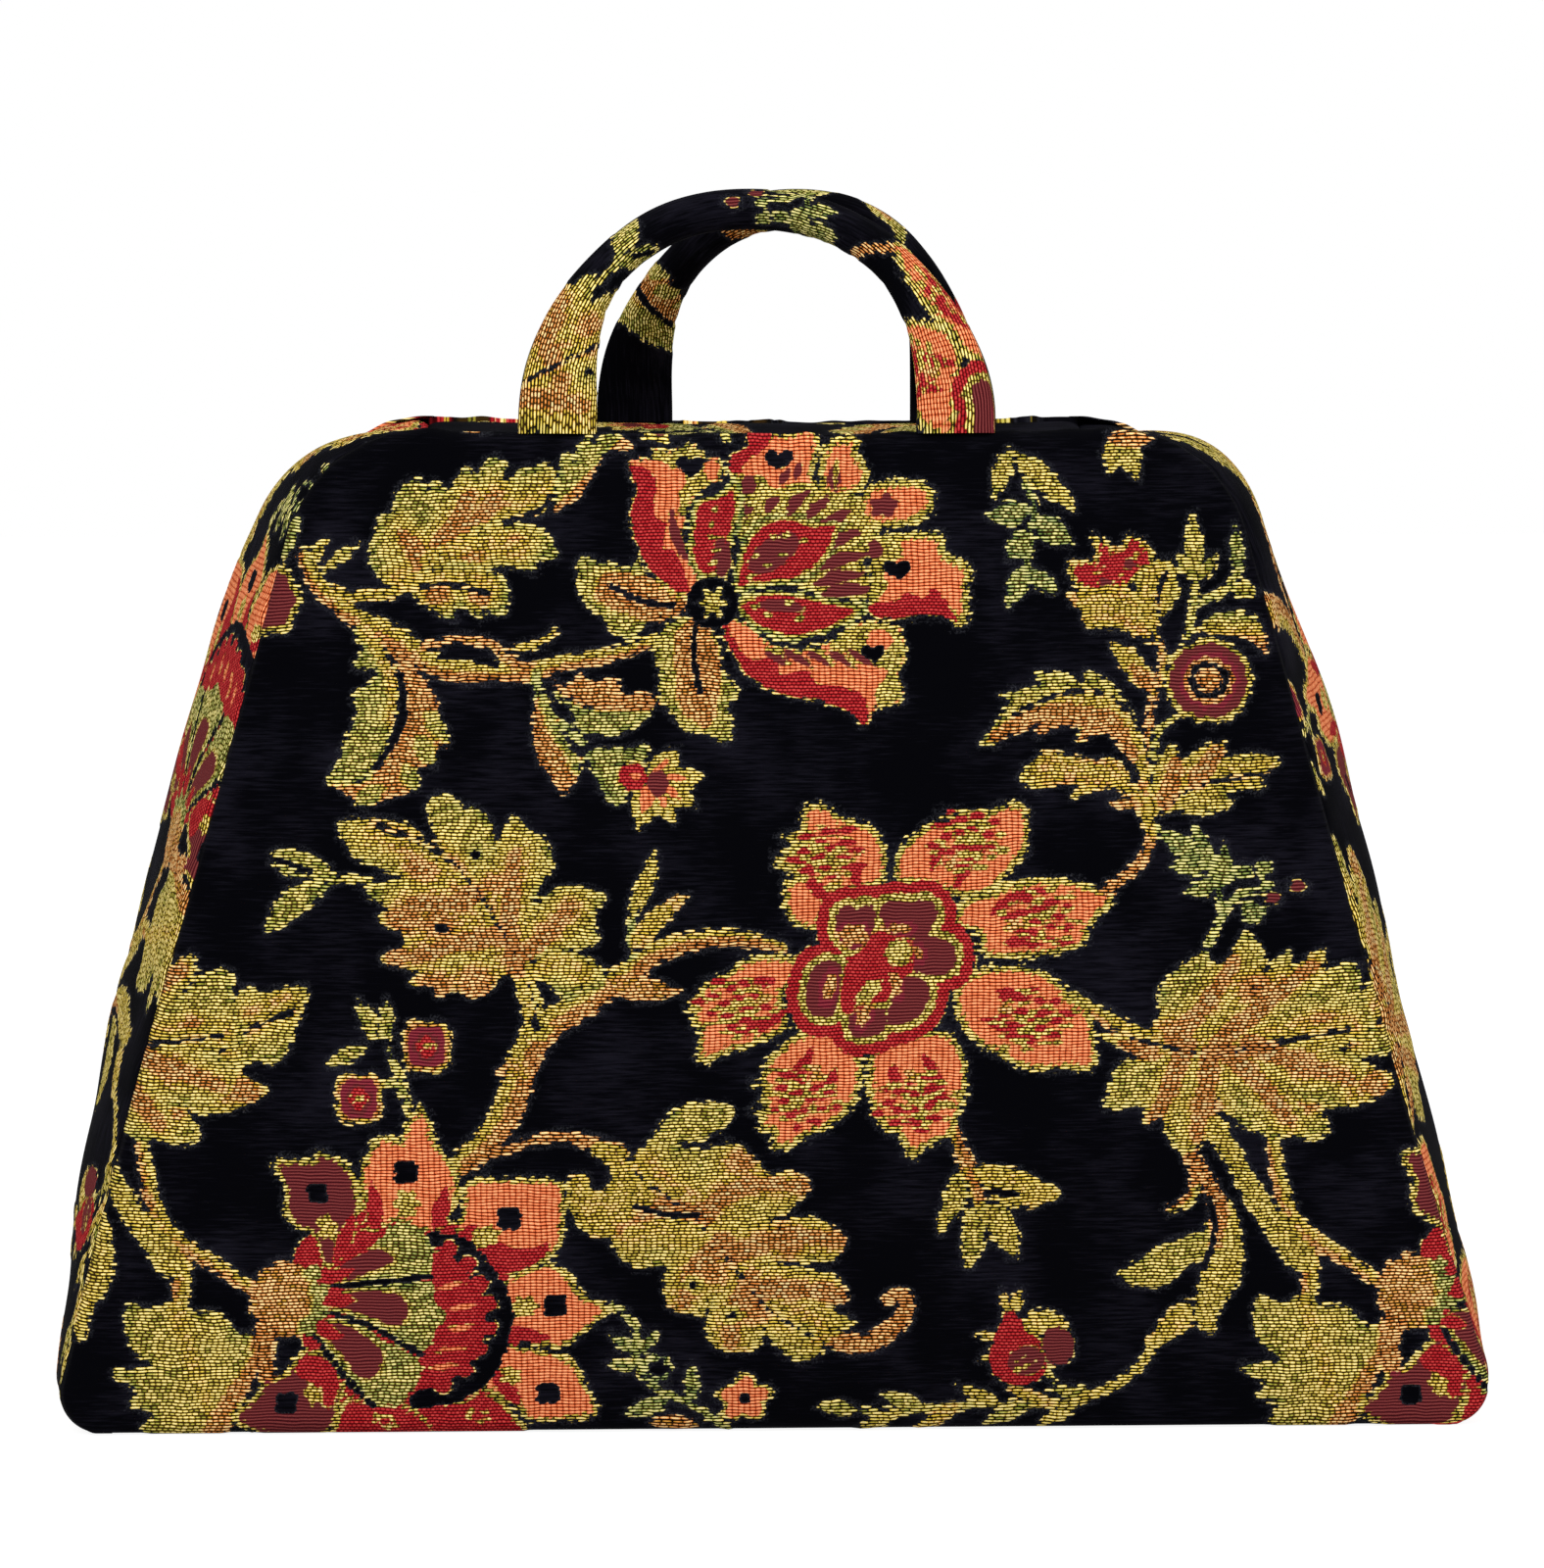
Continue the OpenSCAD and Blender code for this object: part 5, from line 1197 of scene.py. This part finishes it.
def tapestry_cloth():
    """Jacquard chenille tapestry: a black brushed ground with the yarns floated over it in rows of dashes."""
    material, t = blank("chenille tapestry")
    if not t:
        return material
    hue = bpy.context.scene.carpet_bag_colours
    pitch = bpy.context.scene.carpet_bag.row_pitch / MM
    uv = add(t, "ShaderNodeUVMap", uv_map="fabric")
    place = add(t, "ShaderNodeSeparateXYZ", (uv,))
    # Hand-like unevenness: the rows and columns wave by about a row over 14 mm
    wave = add(t, NOISE, {"Vector": uv, "Scale": 0.075, "Detail": 2.0})
    u = add(t, MATH, (wave, -2.0, place.outputs[0]), operation="MULTIPLY_ADD")
    v = add(t, MATH, (wave, 2.2, place.outputs[1]), operation="MULTIPLY_ADD")
    rows = add(t, MATH, (v, 1 / pitch), operation="MULTIPLY")
    row = add(t, MATH, (rows,), operation="FLOOR")
    row_luck = add(t, "ShaderNodeTexWhiteNoise", {"W": row}, noise_dimensions="1D")
    # Along a row: long and short dashes, both set off at random, beads set off by half, and columns in line
    dashes = add(t, MATH, (u, 1 / DASH, row_luck), operation="MULTIPLY_ADD")
    beads = add(t, MATH, (u, 1 / BEAD, add(t, MATH, (row, 0.5), operation="MULTIPLY")),
                operation="MULTIPLY_ADD")
    shorts = add(t, MATH, (u, 1 / SHORT, add(t, MATH, (row_luck, 3.7), operation="MULTIPLY")),
                 operation="MULTIPLY_ADD")
    columns = add(t, MATH, (u, 1 / COLUMN), operation="MULTIPLY")
    luck = {}
    for name, cells in (("dash", dashes), ("short", shorts), ("bead", beads)):
        cell = add(t, "ShaderNodeCombineXYZ", (add(t, MATH, (cells,), operation="FLOOR"), row))
        luck[name] = add(t, "ShaderNodeTexWhiteNoise", {"Vector": cell}, noise_dimensions="2D")
    # Profile of a float across its row and along its length: round, and dark where it dives under, a painted
    # shade
    profile = {}
    for name, cells, sharp in (("row", rows, 1.0), ("dash", dashes, 0.22), ("short", shorts, 0.28),
                               ("bead", beads, 0.4), ("column", columns, 0.3)):
        arc = add(t, MATH, (add(t, MATH, (add(t, MATH, (cells,), operation="FRACT"), math.pi),
                                operation="MULTIPLY"),), operation="SINE")
        profile[name] = add(t, MATH, (arc, sharp), operation="POWER")
    crest = profile["row"]
    # The shapes' edges step from dash to dash by up to 0.85 mm
    ragged = add(t, MATH, (add(t, MATH, (luck["dash"], -0.5), operation="ADD"), 1.7), operation="MULTIPLY")
    field = {name: add(t, "ShaderNodeAttribute", attribute_name=name).outputs["Fac"]
             for name in ("cover", *YARNS)}
    cover = add(t, MATH, (add(t, MATH, (field["cover"], ragged), operation="ADD"), 0.4), operation="ADD")
    # Ground: brushed pile, streaked along the rows, its lighter streaks in broad clouds a painted sheen
    streak = add(t, NOISE, {"Vector": add(t, "ShaderNodeMapping", {"Vector": uv, "Scale": (0.08, 1.25, 1.0)}),
                            "Scale": 1.0, "Detail": 3.0, "Roughness": 0.65})
    cloud = add(t, NOISE, {"Vector": uv, "Scale": 0.03, "Detail": 2.0})
    pile = add(t, RANGE, {"Value": add(t, MATH, (streak, cloud), operation="MULTIPLY"), "From Min": 0.23,
                          "From Max": 0.4})
    ground = add(t, MIX, {"Factor": pile, "A": hue.ground, "B": hue.ground_lit}, data_type="RGBA")
    # A shape's border shows as grey specks about 1.5 mm wide on the black
    border = add(t, RANGE, {"Value": cover, "From Min": -1.9, "From Max": -0.3})
    specks = add(t, NOISE, {"Vector": uv, "Scale": 1.5, "Detail": 2.0, "Roughness": 0.6})
    specks = add(t, RANGE, {"Value": specks, "From Min": 0.42, "From Max": 0.72, "To Max": 0.6})
    ground = add(t, MIX, {"Factor": add(t, MATH, (border, specks), operation="MULTIPLY"), "A": ground,
                          "B": linear("#42434a")}, data_type="RGBA")
    # Gold: long pale dashes over black at a shape's edge, short ones inside, mottled from green to tan
    inner = add(t, RANGE, {"Value": cover, "From Min": 1.2, "From Max": 2.6})
    end = add(t, MIX, {"Factor": inner, "A": profile["dash"], "B": profile["short"]}, data_type="FLOAT")
    chance = add(t, MIX, {"Factor": inner, "A": luck["dash"], "B": luck["short"]}, data_type="FLOAT")
    body = add(t, MATH, (add(t, MATH, (crest, end), operation="MULTIPLY"),
                         add(t, MATH, (chance, 0.44, 0.66), operation="MULTIPLY_ADD")), operation="MULTIPLY")
    tone = add(t, "ShaderNodeAttribute", attribute_name="tone").outputs["Fac"]
    mottle = add(t, NOISE, {"Vector": uv, "Scale": 0.14, "Detail": 2.0})
    tone = add(t, MATH, (add(t, MATH, (mottle, -0.5), operation="ADD"), 0.34, tone), operation="MULTIPLY_ADD")
    tone = add(t, MATH, (add(t, MATH, (chance, -0.5), operation="ADD"), 0.26, tone), operation="MULTIPLY_ADD")
    gold = add(t, "ShaderNodeValToRGB", (add(t, MATH, (tone, 0.8), operation="MULTIPLY"),))
    ramp = gold.color_ramp
    ramp.elements[0].color = (*linear("#7a9448"), 1)
    ramp.elements[1].color = (*linear("#96541e"), 1)
    for at, shade in ((0.2, hue.olive), (0.32, hue.gold), (0.5, hue.satin), (0.66, hue.tan), (0.86, hue.tan)):
        ramp.elements.new(at).color = (*shade, 1)
    # Between the dashes: the black ground at a shape's edge, and inside a shape a painted shade of the gold
    # yarn
    gap = add(t, MIX, {"Factor": inner, "A": linear("#0d0a07"), "B": hue.gold_gap}, data_type="RGBA")
    float_body = add(t, RANGE, {"Value": body, "From Min": 0.46, "From Max": 0.68})
    gold = add(t, MIX, {"Factor": float_body, "A": gap, "B": gold}, data_type="RGBA")
    # A painted highlight: pale gold on the highest part of each dash
    glint = add(t, RANGE, {"Value": body, "From Min": 0.64, "From Max": 0.92, "To Max": 0.85})
    gold = add(t, MIX, {"Factor": glint, "A": gold, "B": hue.gold_highlight}, data_type="RGBA")
    # Coral in a grid of rows and columns, red in beads, burgundy in fine lines, from gaps to crests
    # Each runs from a painted shade in its gaps to a painted highlight on its crests
    lively = add(t, MATH, (luck["bead"], 0.36, 0.74), operation="MULTIPLY_ADD")
    coral = add(t, MATH, (add(t, MATH, (crest, profile["column"]), operation="MULTIPLY"), lively),
                operation="MULTIPLY")
    red = add(t, MATH, (add(t, MATH, (crest, profile["bead"]), operation="MULTIPLY"), lively),
              operation="MULTIPLY")
    crimson = add(t, RANGE, {"Value": tone, "From Min": 0.72, "From Max": 0.78})
    wine = add(t, MIX, {"Factor": crimson, "A": hue.burgundy, "B": hue.crimson}, data_type="RGBA")
    fine_line = add(t, RANGE, {"Value": crest, "From Min": 0.2, "From Max": 0.7})
    wine = add(t, MIX, {"Factor": fine_line, "A": linear("#2e0b0f"), "B": wine}, data_type="RGBA")
    glint = add(t, RANGE, {"Value": crest, "From Min": 0.8, "To Max": 0.5})
    wine = add(t, MIX, {"Factor": glint, "A": wine, "B": linear("#96524a")}, data_type="RGBA")
    shades = {"burgundy": wine}
    for yarn, value, stops in (
            ("coral", coral, ((0.28, linear("#5c1606")), (0.54, hue.coral), (0.94, linear("#ffb07c")))),
            ("red", red, ((0.15, linear("#2c0608")), (0.6, hue.red), (1.0, linear("#cc4a45"))))):
        shades[yarn] = add(t, "ShaderNodeValToRGB", (value,))
        ramp = shades[yarn].color_ramp
        ramp.elements[0].position, ramp.elements[0].color = stops[0][0], (*stops[0][1], 1)
        ramp.elements[1].position, ramp.elements[1].color = stops[2][0], (*stops[2][1], 1)
        ramp.elements.new(stops[1][0]).color = (*stops[1][1], 1)
    colour = gold
    for yarn, shade in shades.items():
        inside = add(t, MATH, (ragged, 0.5, field[yarn]), operation="MULTIPLY_ADD")
        inside = add(t, RANGE, {"Value": inside, "From Min": -0.35, "From Max": -0.05})
        colour = add(t, MIX, {"Factor": inside, "A": colour, "B": shade}, data_type="RGBA")
    shown = add(t, RANGE, {"Value": cover, "From Min": -0.12, "From Max": 0.16})
    colour = add(t, MIX, {"Factor": shown, "A": ground, "B": colour}, data_type="RGBA")
    # Relief: floats stand up in rounded dashes, the pile between them is rough
    woven = add(t, RANGE, {"Value": cover, "From Min": -0.3, "From Max": 0.3})
    relief = add(t, MIX, {"Factor": woven, "A": add(t, MATH, (streak, 0.7), operation="MULTIPLY"),
                          "B": add(t, MATH, (crest, profile["bead"], 0.2), operation="MULTIPLY_ADD")},
                 data_type="FLOAT")
    bump = add(t, "ShaderNodeBump", {"Strength": 0.5, "Distance": 0.00035, "Height": relief})
    shader = add(t, PRINCIPLED, {"Base Color": colour, "Roughness": 0.9, "Specular IOR Level": 0.02,
                                 "Normal": bump})
    add(t, OUTPUT, {"Surface": shader})
    return material


def antique_brass():
    """Cast brass, tumbled and darkened: bright on the rubbed places, brown in the hollows."""
    material, t = blank("antique brass")
    if t:
        hue = bpy.context.scene.carpet_bag_colours
        place = add(t, "ShaderNodeTexCoord").outputs["Object"]
        tarnish = add(t, NOISE, {"Vector": place, "Scale": 260.0, "Detail": 4.0, "Roughness": 0.6})
        fine = add(t, NOISE, {"Vector": place, "Scale": 2600.0, "Detail": 2.0})
        shade = add(t, MIX, {"Factor": add(t, RANGE, {"Value": tarnish, "From Min": 0.38, "From Max": 0.62}),
                             "A": linear("#6d5433"), "B": hue.brass}, data_type="RGBA")
        rough = add(t, RANGE, {"Value": tarnish, "To Min": 0.46, "To Max": 0.26})
        bump = add(t, "ShaderNodeBump", {"Strength": 0.15, "Distance": 0.0001, "Height": fine})
        shader = add(t, PRINCIPLED, {"Base Color": shade, "Metallic": 1.0, "Roughness": rough,
                                     "Normal": bump})
        add(t, OUTPUT, {"Surface": shader})
    return material


def plain_weave(name, dark, light, pitch, depth):
    """A plain woven cloth: threads over and under at a pitch in mm, about twice as coarse as the real one."""
    material, t = blank(name)
    if t:
        place = add(t, "ShaderNodeTexCoord").outputs["Object"]
        scaled = add(t, "ShaderNodeMapping", {"Vector": place, "Scale": (1 / (pitch * MM),) * 3})
        axes = add(t, "ShaderNodeSeparateXYZ", (scaled,))
        warp = add(t, MATH, (add(t, MATH, (axes.outputs[0], math.pi), operation="MULTIPLY"),),
                   operation="SINE")
        depthwise = add(t, MATH, (axes.outputs[1], axes.outputs[2]), operation="ADD")
        weft = add(t, MATH, (add(t, MATH, (depthwise, math.pi), operation="MULTIPLY"),), operation="SINE")
        over = add(t, RANGE, {"Value": add(t, MATH, (warp, weft), operation="MULTIPLY"), "From Min": -1.0})
        slub = add(t, NOISE, {"Vector": scaled, "Scale": 0.35, "Detail": 3.0})
        shade = add(t, MIX, {"Factor": add(t, MATH, (over, slub), operation="MULTIPLY"), "A": dark,
                             "B": light}, data_type="RGBA")
        bump = add(t, "ShaderNodeBump", {"Strength": 0.5, "Distance": depth, "Height": over})
        shader = add(t, PRINCIPLED, {"Base Color": shade, "Roughness": 0.8, "Specular IOR Level": 0.3,
                                     "Sheen Weight": 0.1, "Normal": bump})
        add(t, OUTPUT, {"Surface": shader})
    return material


def grey_board():
    """Pressed grey board: pale fibres in a dull brown sheet."""
    material, t = blank("pressed board")
    if t:
        hue = bpy.context.scene.carpet_bag_colours
        place = add(t, "ShaderNodeTexCoord").outputs["Object"]
        drawn = add(t, "ShaderNodeMapping", {"Vector": place, "Scale": (300.0, 1200.0, 1200.0)})
        fibre = add(t, NOISE, {"Vector": drawn, "Scale": 1.0, "Detail": 4.0})
        shade = add(t, MIX, {"Factor": fibre, "A": linear("#6f5f48"), "B": hue.board}, data_type="RGBA")
        bump = add(t, "ShaderNodeBump", {"Strength": 0.3, "Distance": 0.0002, "Height": fibre})
        shader = add(t, PRINCIPLED, {"Base Color": shade, "Roughness": 0.9, "Normal": bump})
        add(t, OUTPUT, {"Surface": shader})
    return material


# The pieces, each made by an operator of its own

def laid(start, along=1, across=1):
    """A piece's place on the fabric: where it starts there, and which way it runs."""
    return lambda u, v: np.stack([start[0] + along * u, start[1] + across * v], 2)


def aim(piece, target):
    """Turns the camera or a lamp towards a point."""
    piece.rotation_euler = (Vector(target) - piece.location).to_track_quat("-Z", "Y").to_euler()


def own(nodes, material):
    """Gives CAD nodes that keep their shape a finish."""
    for name in nodes:
        piece = bpy.data.objects[name]
        piece.data.materials.clear()
        piece.data.materials.append(material)


class CARPETBAG_OT_panels(Operator):
    """Sews the front and the back"""

    bl_idname = "carpet_bag.panels"
    bl_label = "Front and Back"

    def execute(self, context):
        cut = Cut(context.scene.carpet_bag)
        front = panel(cut, "front_cloth", 1, laid((-1.0, -1.3)))
        back = panel(cut, "back_cloth", -1, laid((150, 112)))
        for piece, node in ((front, "front_panel"), (back, "back_panel")):
            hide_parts(node)
        return {"FINISHED"}


class CARPETBAG_OT_side_strips(Operator):
    """Sews the two side strips"""

    bl_idname = "carpet_bag.side_strips"
    bl_label = "Side Strips"

    def execute(self, context):
        cut = Cut(context.scene.carpet_bag)
        for name, node, side, start in (("left_side_cloth", "side_gusset_left", -1, (4, 84)),
                                        ("right_side_cloth", "side_gusset_right", 1, (2, 52))):
            piece = side_strip(cut, name, side, laid(start, across=-side))
            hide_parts(node)
        return {"FINISHED"}


class CARPETBAG_OT_top_strips(Operator):
    """Sews the strips in front of and behind the zip"""

    bl_idname = "carpet_bag.top_strips"
    bl_label = "Top Strips"

    def execute(self, context):
        cut = Cut(context.scene.carpet_bag)
        for name, node, facing, start in (("front_top_cloth", "top_gusset_front", 1, (60, 20)),
                                          ("rear_top_cloth", "top_gusset_rear", -1, (-80, 200))):
            piece = top_strip(cut, name, facing, laid(start))
            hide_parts(node)
        return {"FINISHED"}


class CARPETBAG_OT_base(Operator):
    """Sews the base"""

    bl_idname = "carpet_bag.base"
    bl_label = "Base"

    def execute(self, context):
        cut = Cut(context.scene.carpet_bag)
        piece = base(cut, "base_cloth", laid((0, 130), across=-1))
        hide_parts("base_panel")
        return {"FINISHED"}


class CARPETBAG_OT_handles(Operator):
    """Rolls and sews the two handles"""

    bl_idname = "carpet_bag.handles"
    bl_label = "Handles"

    def execute(self, context):
        cut = Cut(context.scene.carpet_bag)
        for name, node, facing, span, shift, start in (
                ("front_handle_cloth", "handle_cover_front", 1, cut.handle_span, -cut.handle_shift,
                 (290, 168)),
                ("rear_handle_cloth", "handle_cover_rear", -1, cut.rear_span, cut.rear_shift, (66, 191))):
            piece = handle(cut, name, facing, span, shift, laid(start, along=-1))
            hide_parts(node)
        hue = context.scene.carpet_bag_colours
        cord = plain_weave("cotton cord", linear("#b3aa93"), hue.filling, 1.2, 0.0004)
        own(("handle_core_front", "handle_core_rear"), cord)
        return {"FINISHED"}


class CARPETBAG_OT_zip(Operator):
    """Finishes the zip"""

    bl_idname = "carpet_bag.zip"
    bl_label = "Zip"

    def execute(self, context):
        hue = context.scene.carpet_bag_colours
        own(("zip_teeth_front", "zip_teeth_rear", "zip_top_stops", "zip_bottom_stop", "zip_slider",
             "zip_pull"), antique_brass())
        cut = Cut(context.scene.carpet_bag)
        for name, node, facing in (("front_tape", "zip_tape_front", 1), ("rear_tape", "zip_tape_rear", -1)):
            piece = zip_tape(cut, name, facing)
            tape = plain_weave("woven zip tape", linear("#08080b"), hue.tape, 0.7, 0.0002)
            piece.data.materials.append(tape)
            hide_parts(node)
        return {"FINISHED"}


class CARPETBAG_OT_inside(Operator):
    """Finishes the lining and the board"""

    bl_idname = "carpet_bag.inside"
    bl_label = "Inside"

    def execute(self, context):
        hue = context.scene.carpet_bag_colours
        own(("lining",), plain_weave("cotton lining", linear("#2c1014"), hue.lining, 0.8, 0.0002))
        own(("base_board",), grey_board())
        return {"FINISHED"}


class CARPETBAG_OT_stage(Operator):
    """Sets the camera, the floor and the light"""

    bl_idname = "carpet_bag.stage"
    bl_label = "Stage"

    def execute(self, context):
        scene = context.scene
        camera = bpy.data.objects.new("camera", bpy.data.cameras.new("camera"))
        scene.collection.objects.link(camera)
        camera.location = (-0.092, -2.29, 0.398)
        aim(camera, (0.0, -0.09, 0.212))
        camera.data.lens, camera.data.sensor_width = 156.8, 36.0
        scene.camera = camera
        bpy.ops.object.select_all(action="DESELECT")
        bpy.ops.mesh.primitive_plane_add(size=12, location=(0, 0, 0))
        floor = context.object
        floor.name = "floor"
        for vertex in floor.data.vertices:
            vertex.co.z = -0.0004
        material, t = blank("white studio floor")
        path = add(t, "ShaderNodeLightPath")
        seen = path.outputs["Is Camera Ray"]
        for ray in ("Is Glossy Ray", "Is Transmission Ray"):
            seen = add(t, MATH, (seen, path.outputs[ray]), operation="MAXIMUM")
        matt = add(t, "ShaderNodeBsdfDiffuse", {"Color": (0.8, 0.8, 0.8)})
        white = add(t, "ShaderNodeEmission", {"Color": (1.0, 1.0, 1.0), "Strength": 0.9})
        faint = add(t, "ShaderNodeBsdfDiffuse", {"Color": (0.22, 0.22, 0.22)})
        lit = add(t, "ShaderNodeAddShader", (white, faint))
        add(t, OUTPUT, {"Surface": add(t, "ShaderNodeMixShader", (seen, matt, lit))})
        floor.data.materials.append(material)
        world = bpy.data.worlds.new("studio")
        scene.world = world
        world.use_nodes = True
        t = world.node_tree
        t.nodes.clear()
        path = add(t, "ShaderNodeLightPath")
        strength = add(t, RANGE, {"Value": path.outputs["Is Camera Ray"], "To Min": 0.6, "To Max": 1.0})
        sky = add(t, "ShaderNodeBackground", {"Color": (1.0, 1.0, 1.0), "Strength": strength})
        add(t, "ShaderNodeOutputWorld", {"Surface": sky})
        for name, at, size, power in (
                ("key light", (-1.5, -2.3, 2.0), 1.6, 42), ("fill light", (1.9, -2.0, 1.2), 1.6, 26),
                ("top light", (0.0, 0.4, 2.4), 1.6, 20)):
            lamp = bpy.data.objects.new(name, bpy.data.lights.new(name, "AREA"))
            lamp.data.size, lamp.data.energy = size, power
            lamp.location = at
            aim(lamp, (0, 0, 0.2))
            scene.collection.objects.link(lamp)
        scene.view_settings.view_transform = "Standard"
        return {"FINISHED"}


OPERATORS = (CARPETBAG_OT_panels, CARPETBAG_OT_side_strips, CARPETBAG_OT_top_strips, CARPETBAG_OT_base,
             CARPETBAG_OT_handles, CARPETBAG_OT_zip, CARPETBAG_OT_inside, CARPETBAG_OT_stage)


class CARPETBAG_PT_sidebar(Panel):
    """Lists the bag's sizes, colours and pieces"""

    bl_label = "Carpet Bag"
    bl_idname = "CARPETBAG_PT_sidebar"
    bl_space_type = "VIEW_3D"
    bl_region_type = "UI"
    bl_category = "Carpet Bag"

    def draw(self, context):
        for operator in OPERATORS:
            self.layout.operator(operator.bl_idname)
        for group in (context.scene.carpet_bag, context.scene.carpet_bag_colours):
            box = self.layout.box()
            for name in group.__annotations__:
                box.prop(group, name)


CLASSES = (BagSizes, WeaveColours, *OPERATORS, CARPETBAG_PT_sidebar)


def register():
    for cls in CLASSES:
        bpy.utils.register_class(cls)
    bpy.types.Scene.carpet_bag = PointerProperty(type=BagSizes)
    bpy.types.Scene.carpet_bag_colours = PointerProperty(type=WeaveColours)


def unregister():
    del bpy.types.Scene.carpet_bag_colours
    del bpy.types.Scene.carpet_bag
    for cls in reversed(CLASSES):
        bpy.utils.unregister_class(cls)


def main():
    register()
    bpy.ops.carpet_bag.panels()
    bpy.ops.carpet_bag.side_strips()
    bpy.ops.carpet_bag.top_strips()
    bpy.ops.carpet_bag.base()
    bpy.ops.carpet_bag.handles()
    bpy.ops.carpet_bag.zip()
    bpy.ops.carpet_bag.inside()
    bpy.ops.carpet_bag.stage()
    bpy.context.view_layer.update()


if __name__ == "__main__":
    main()
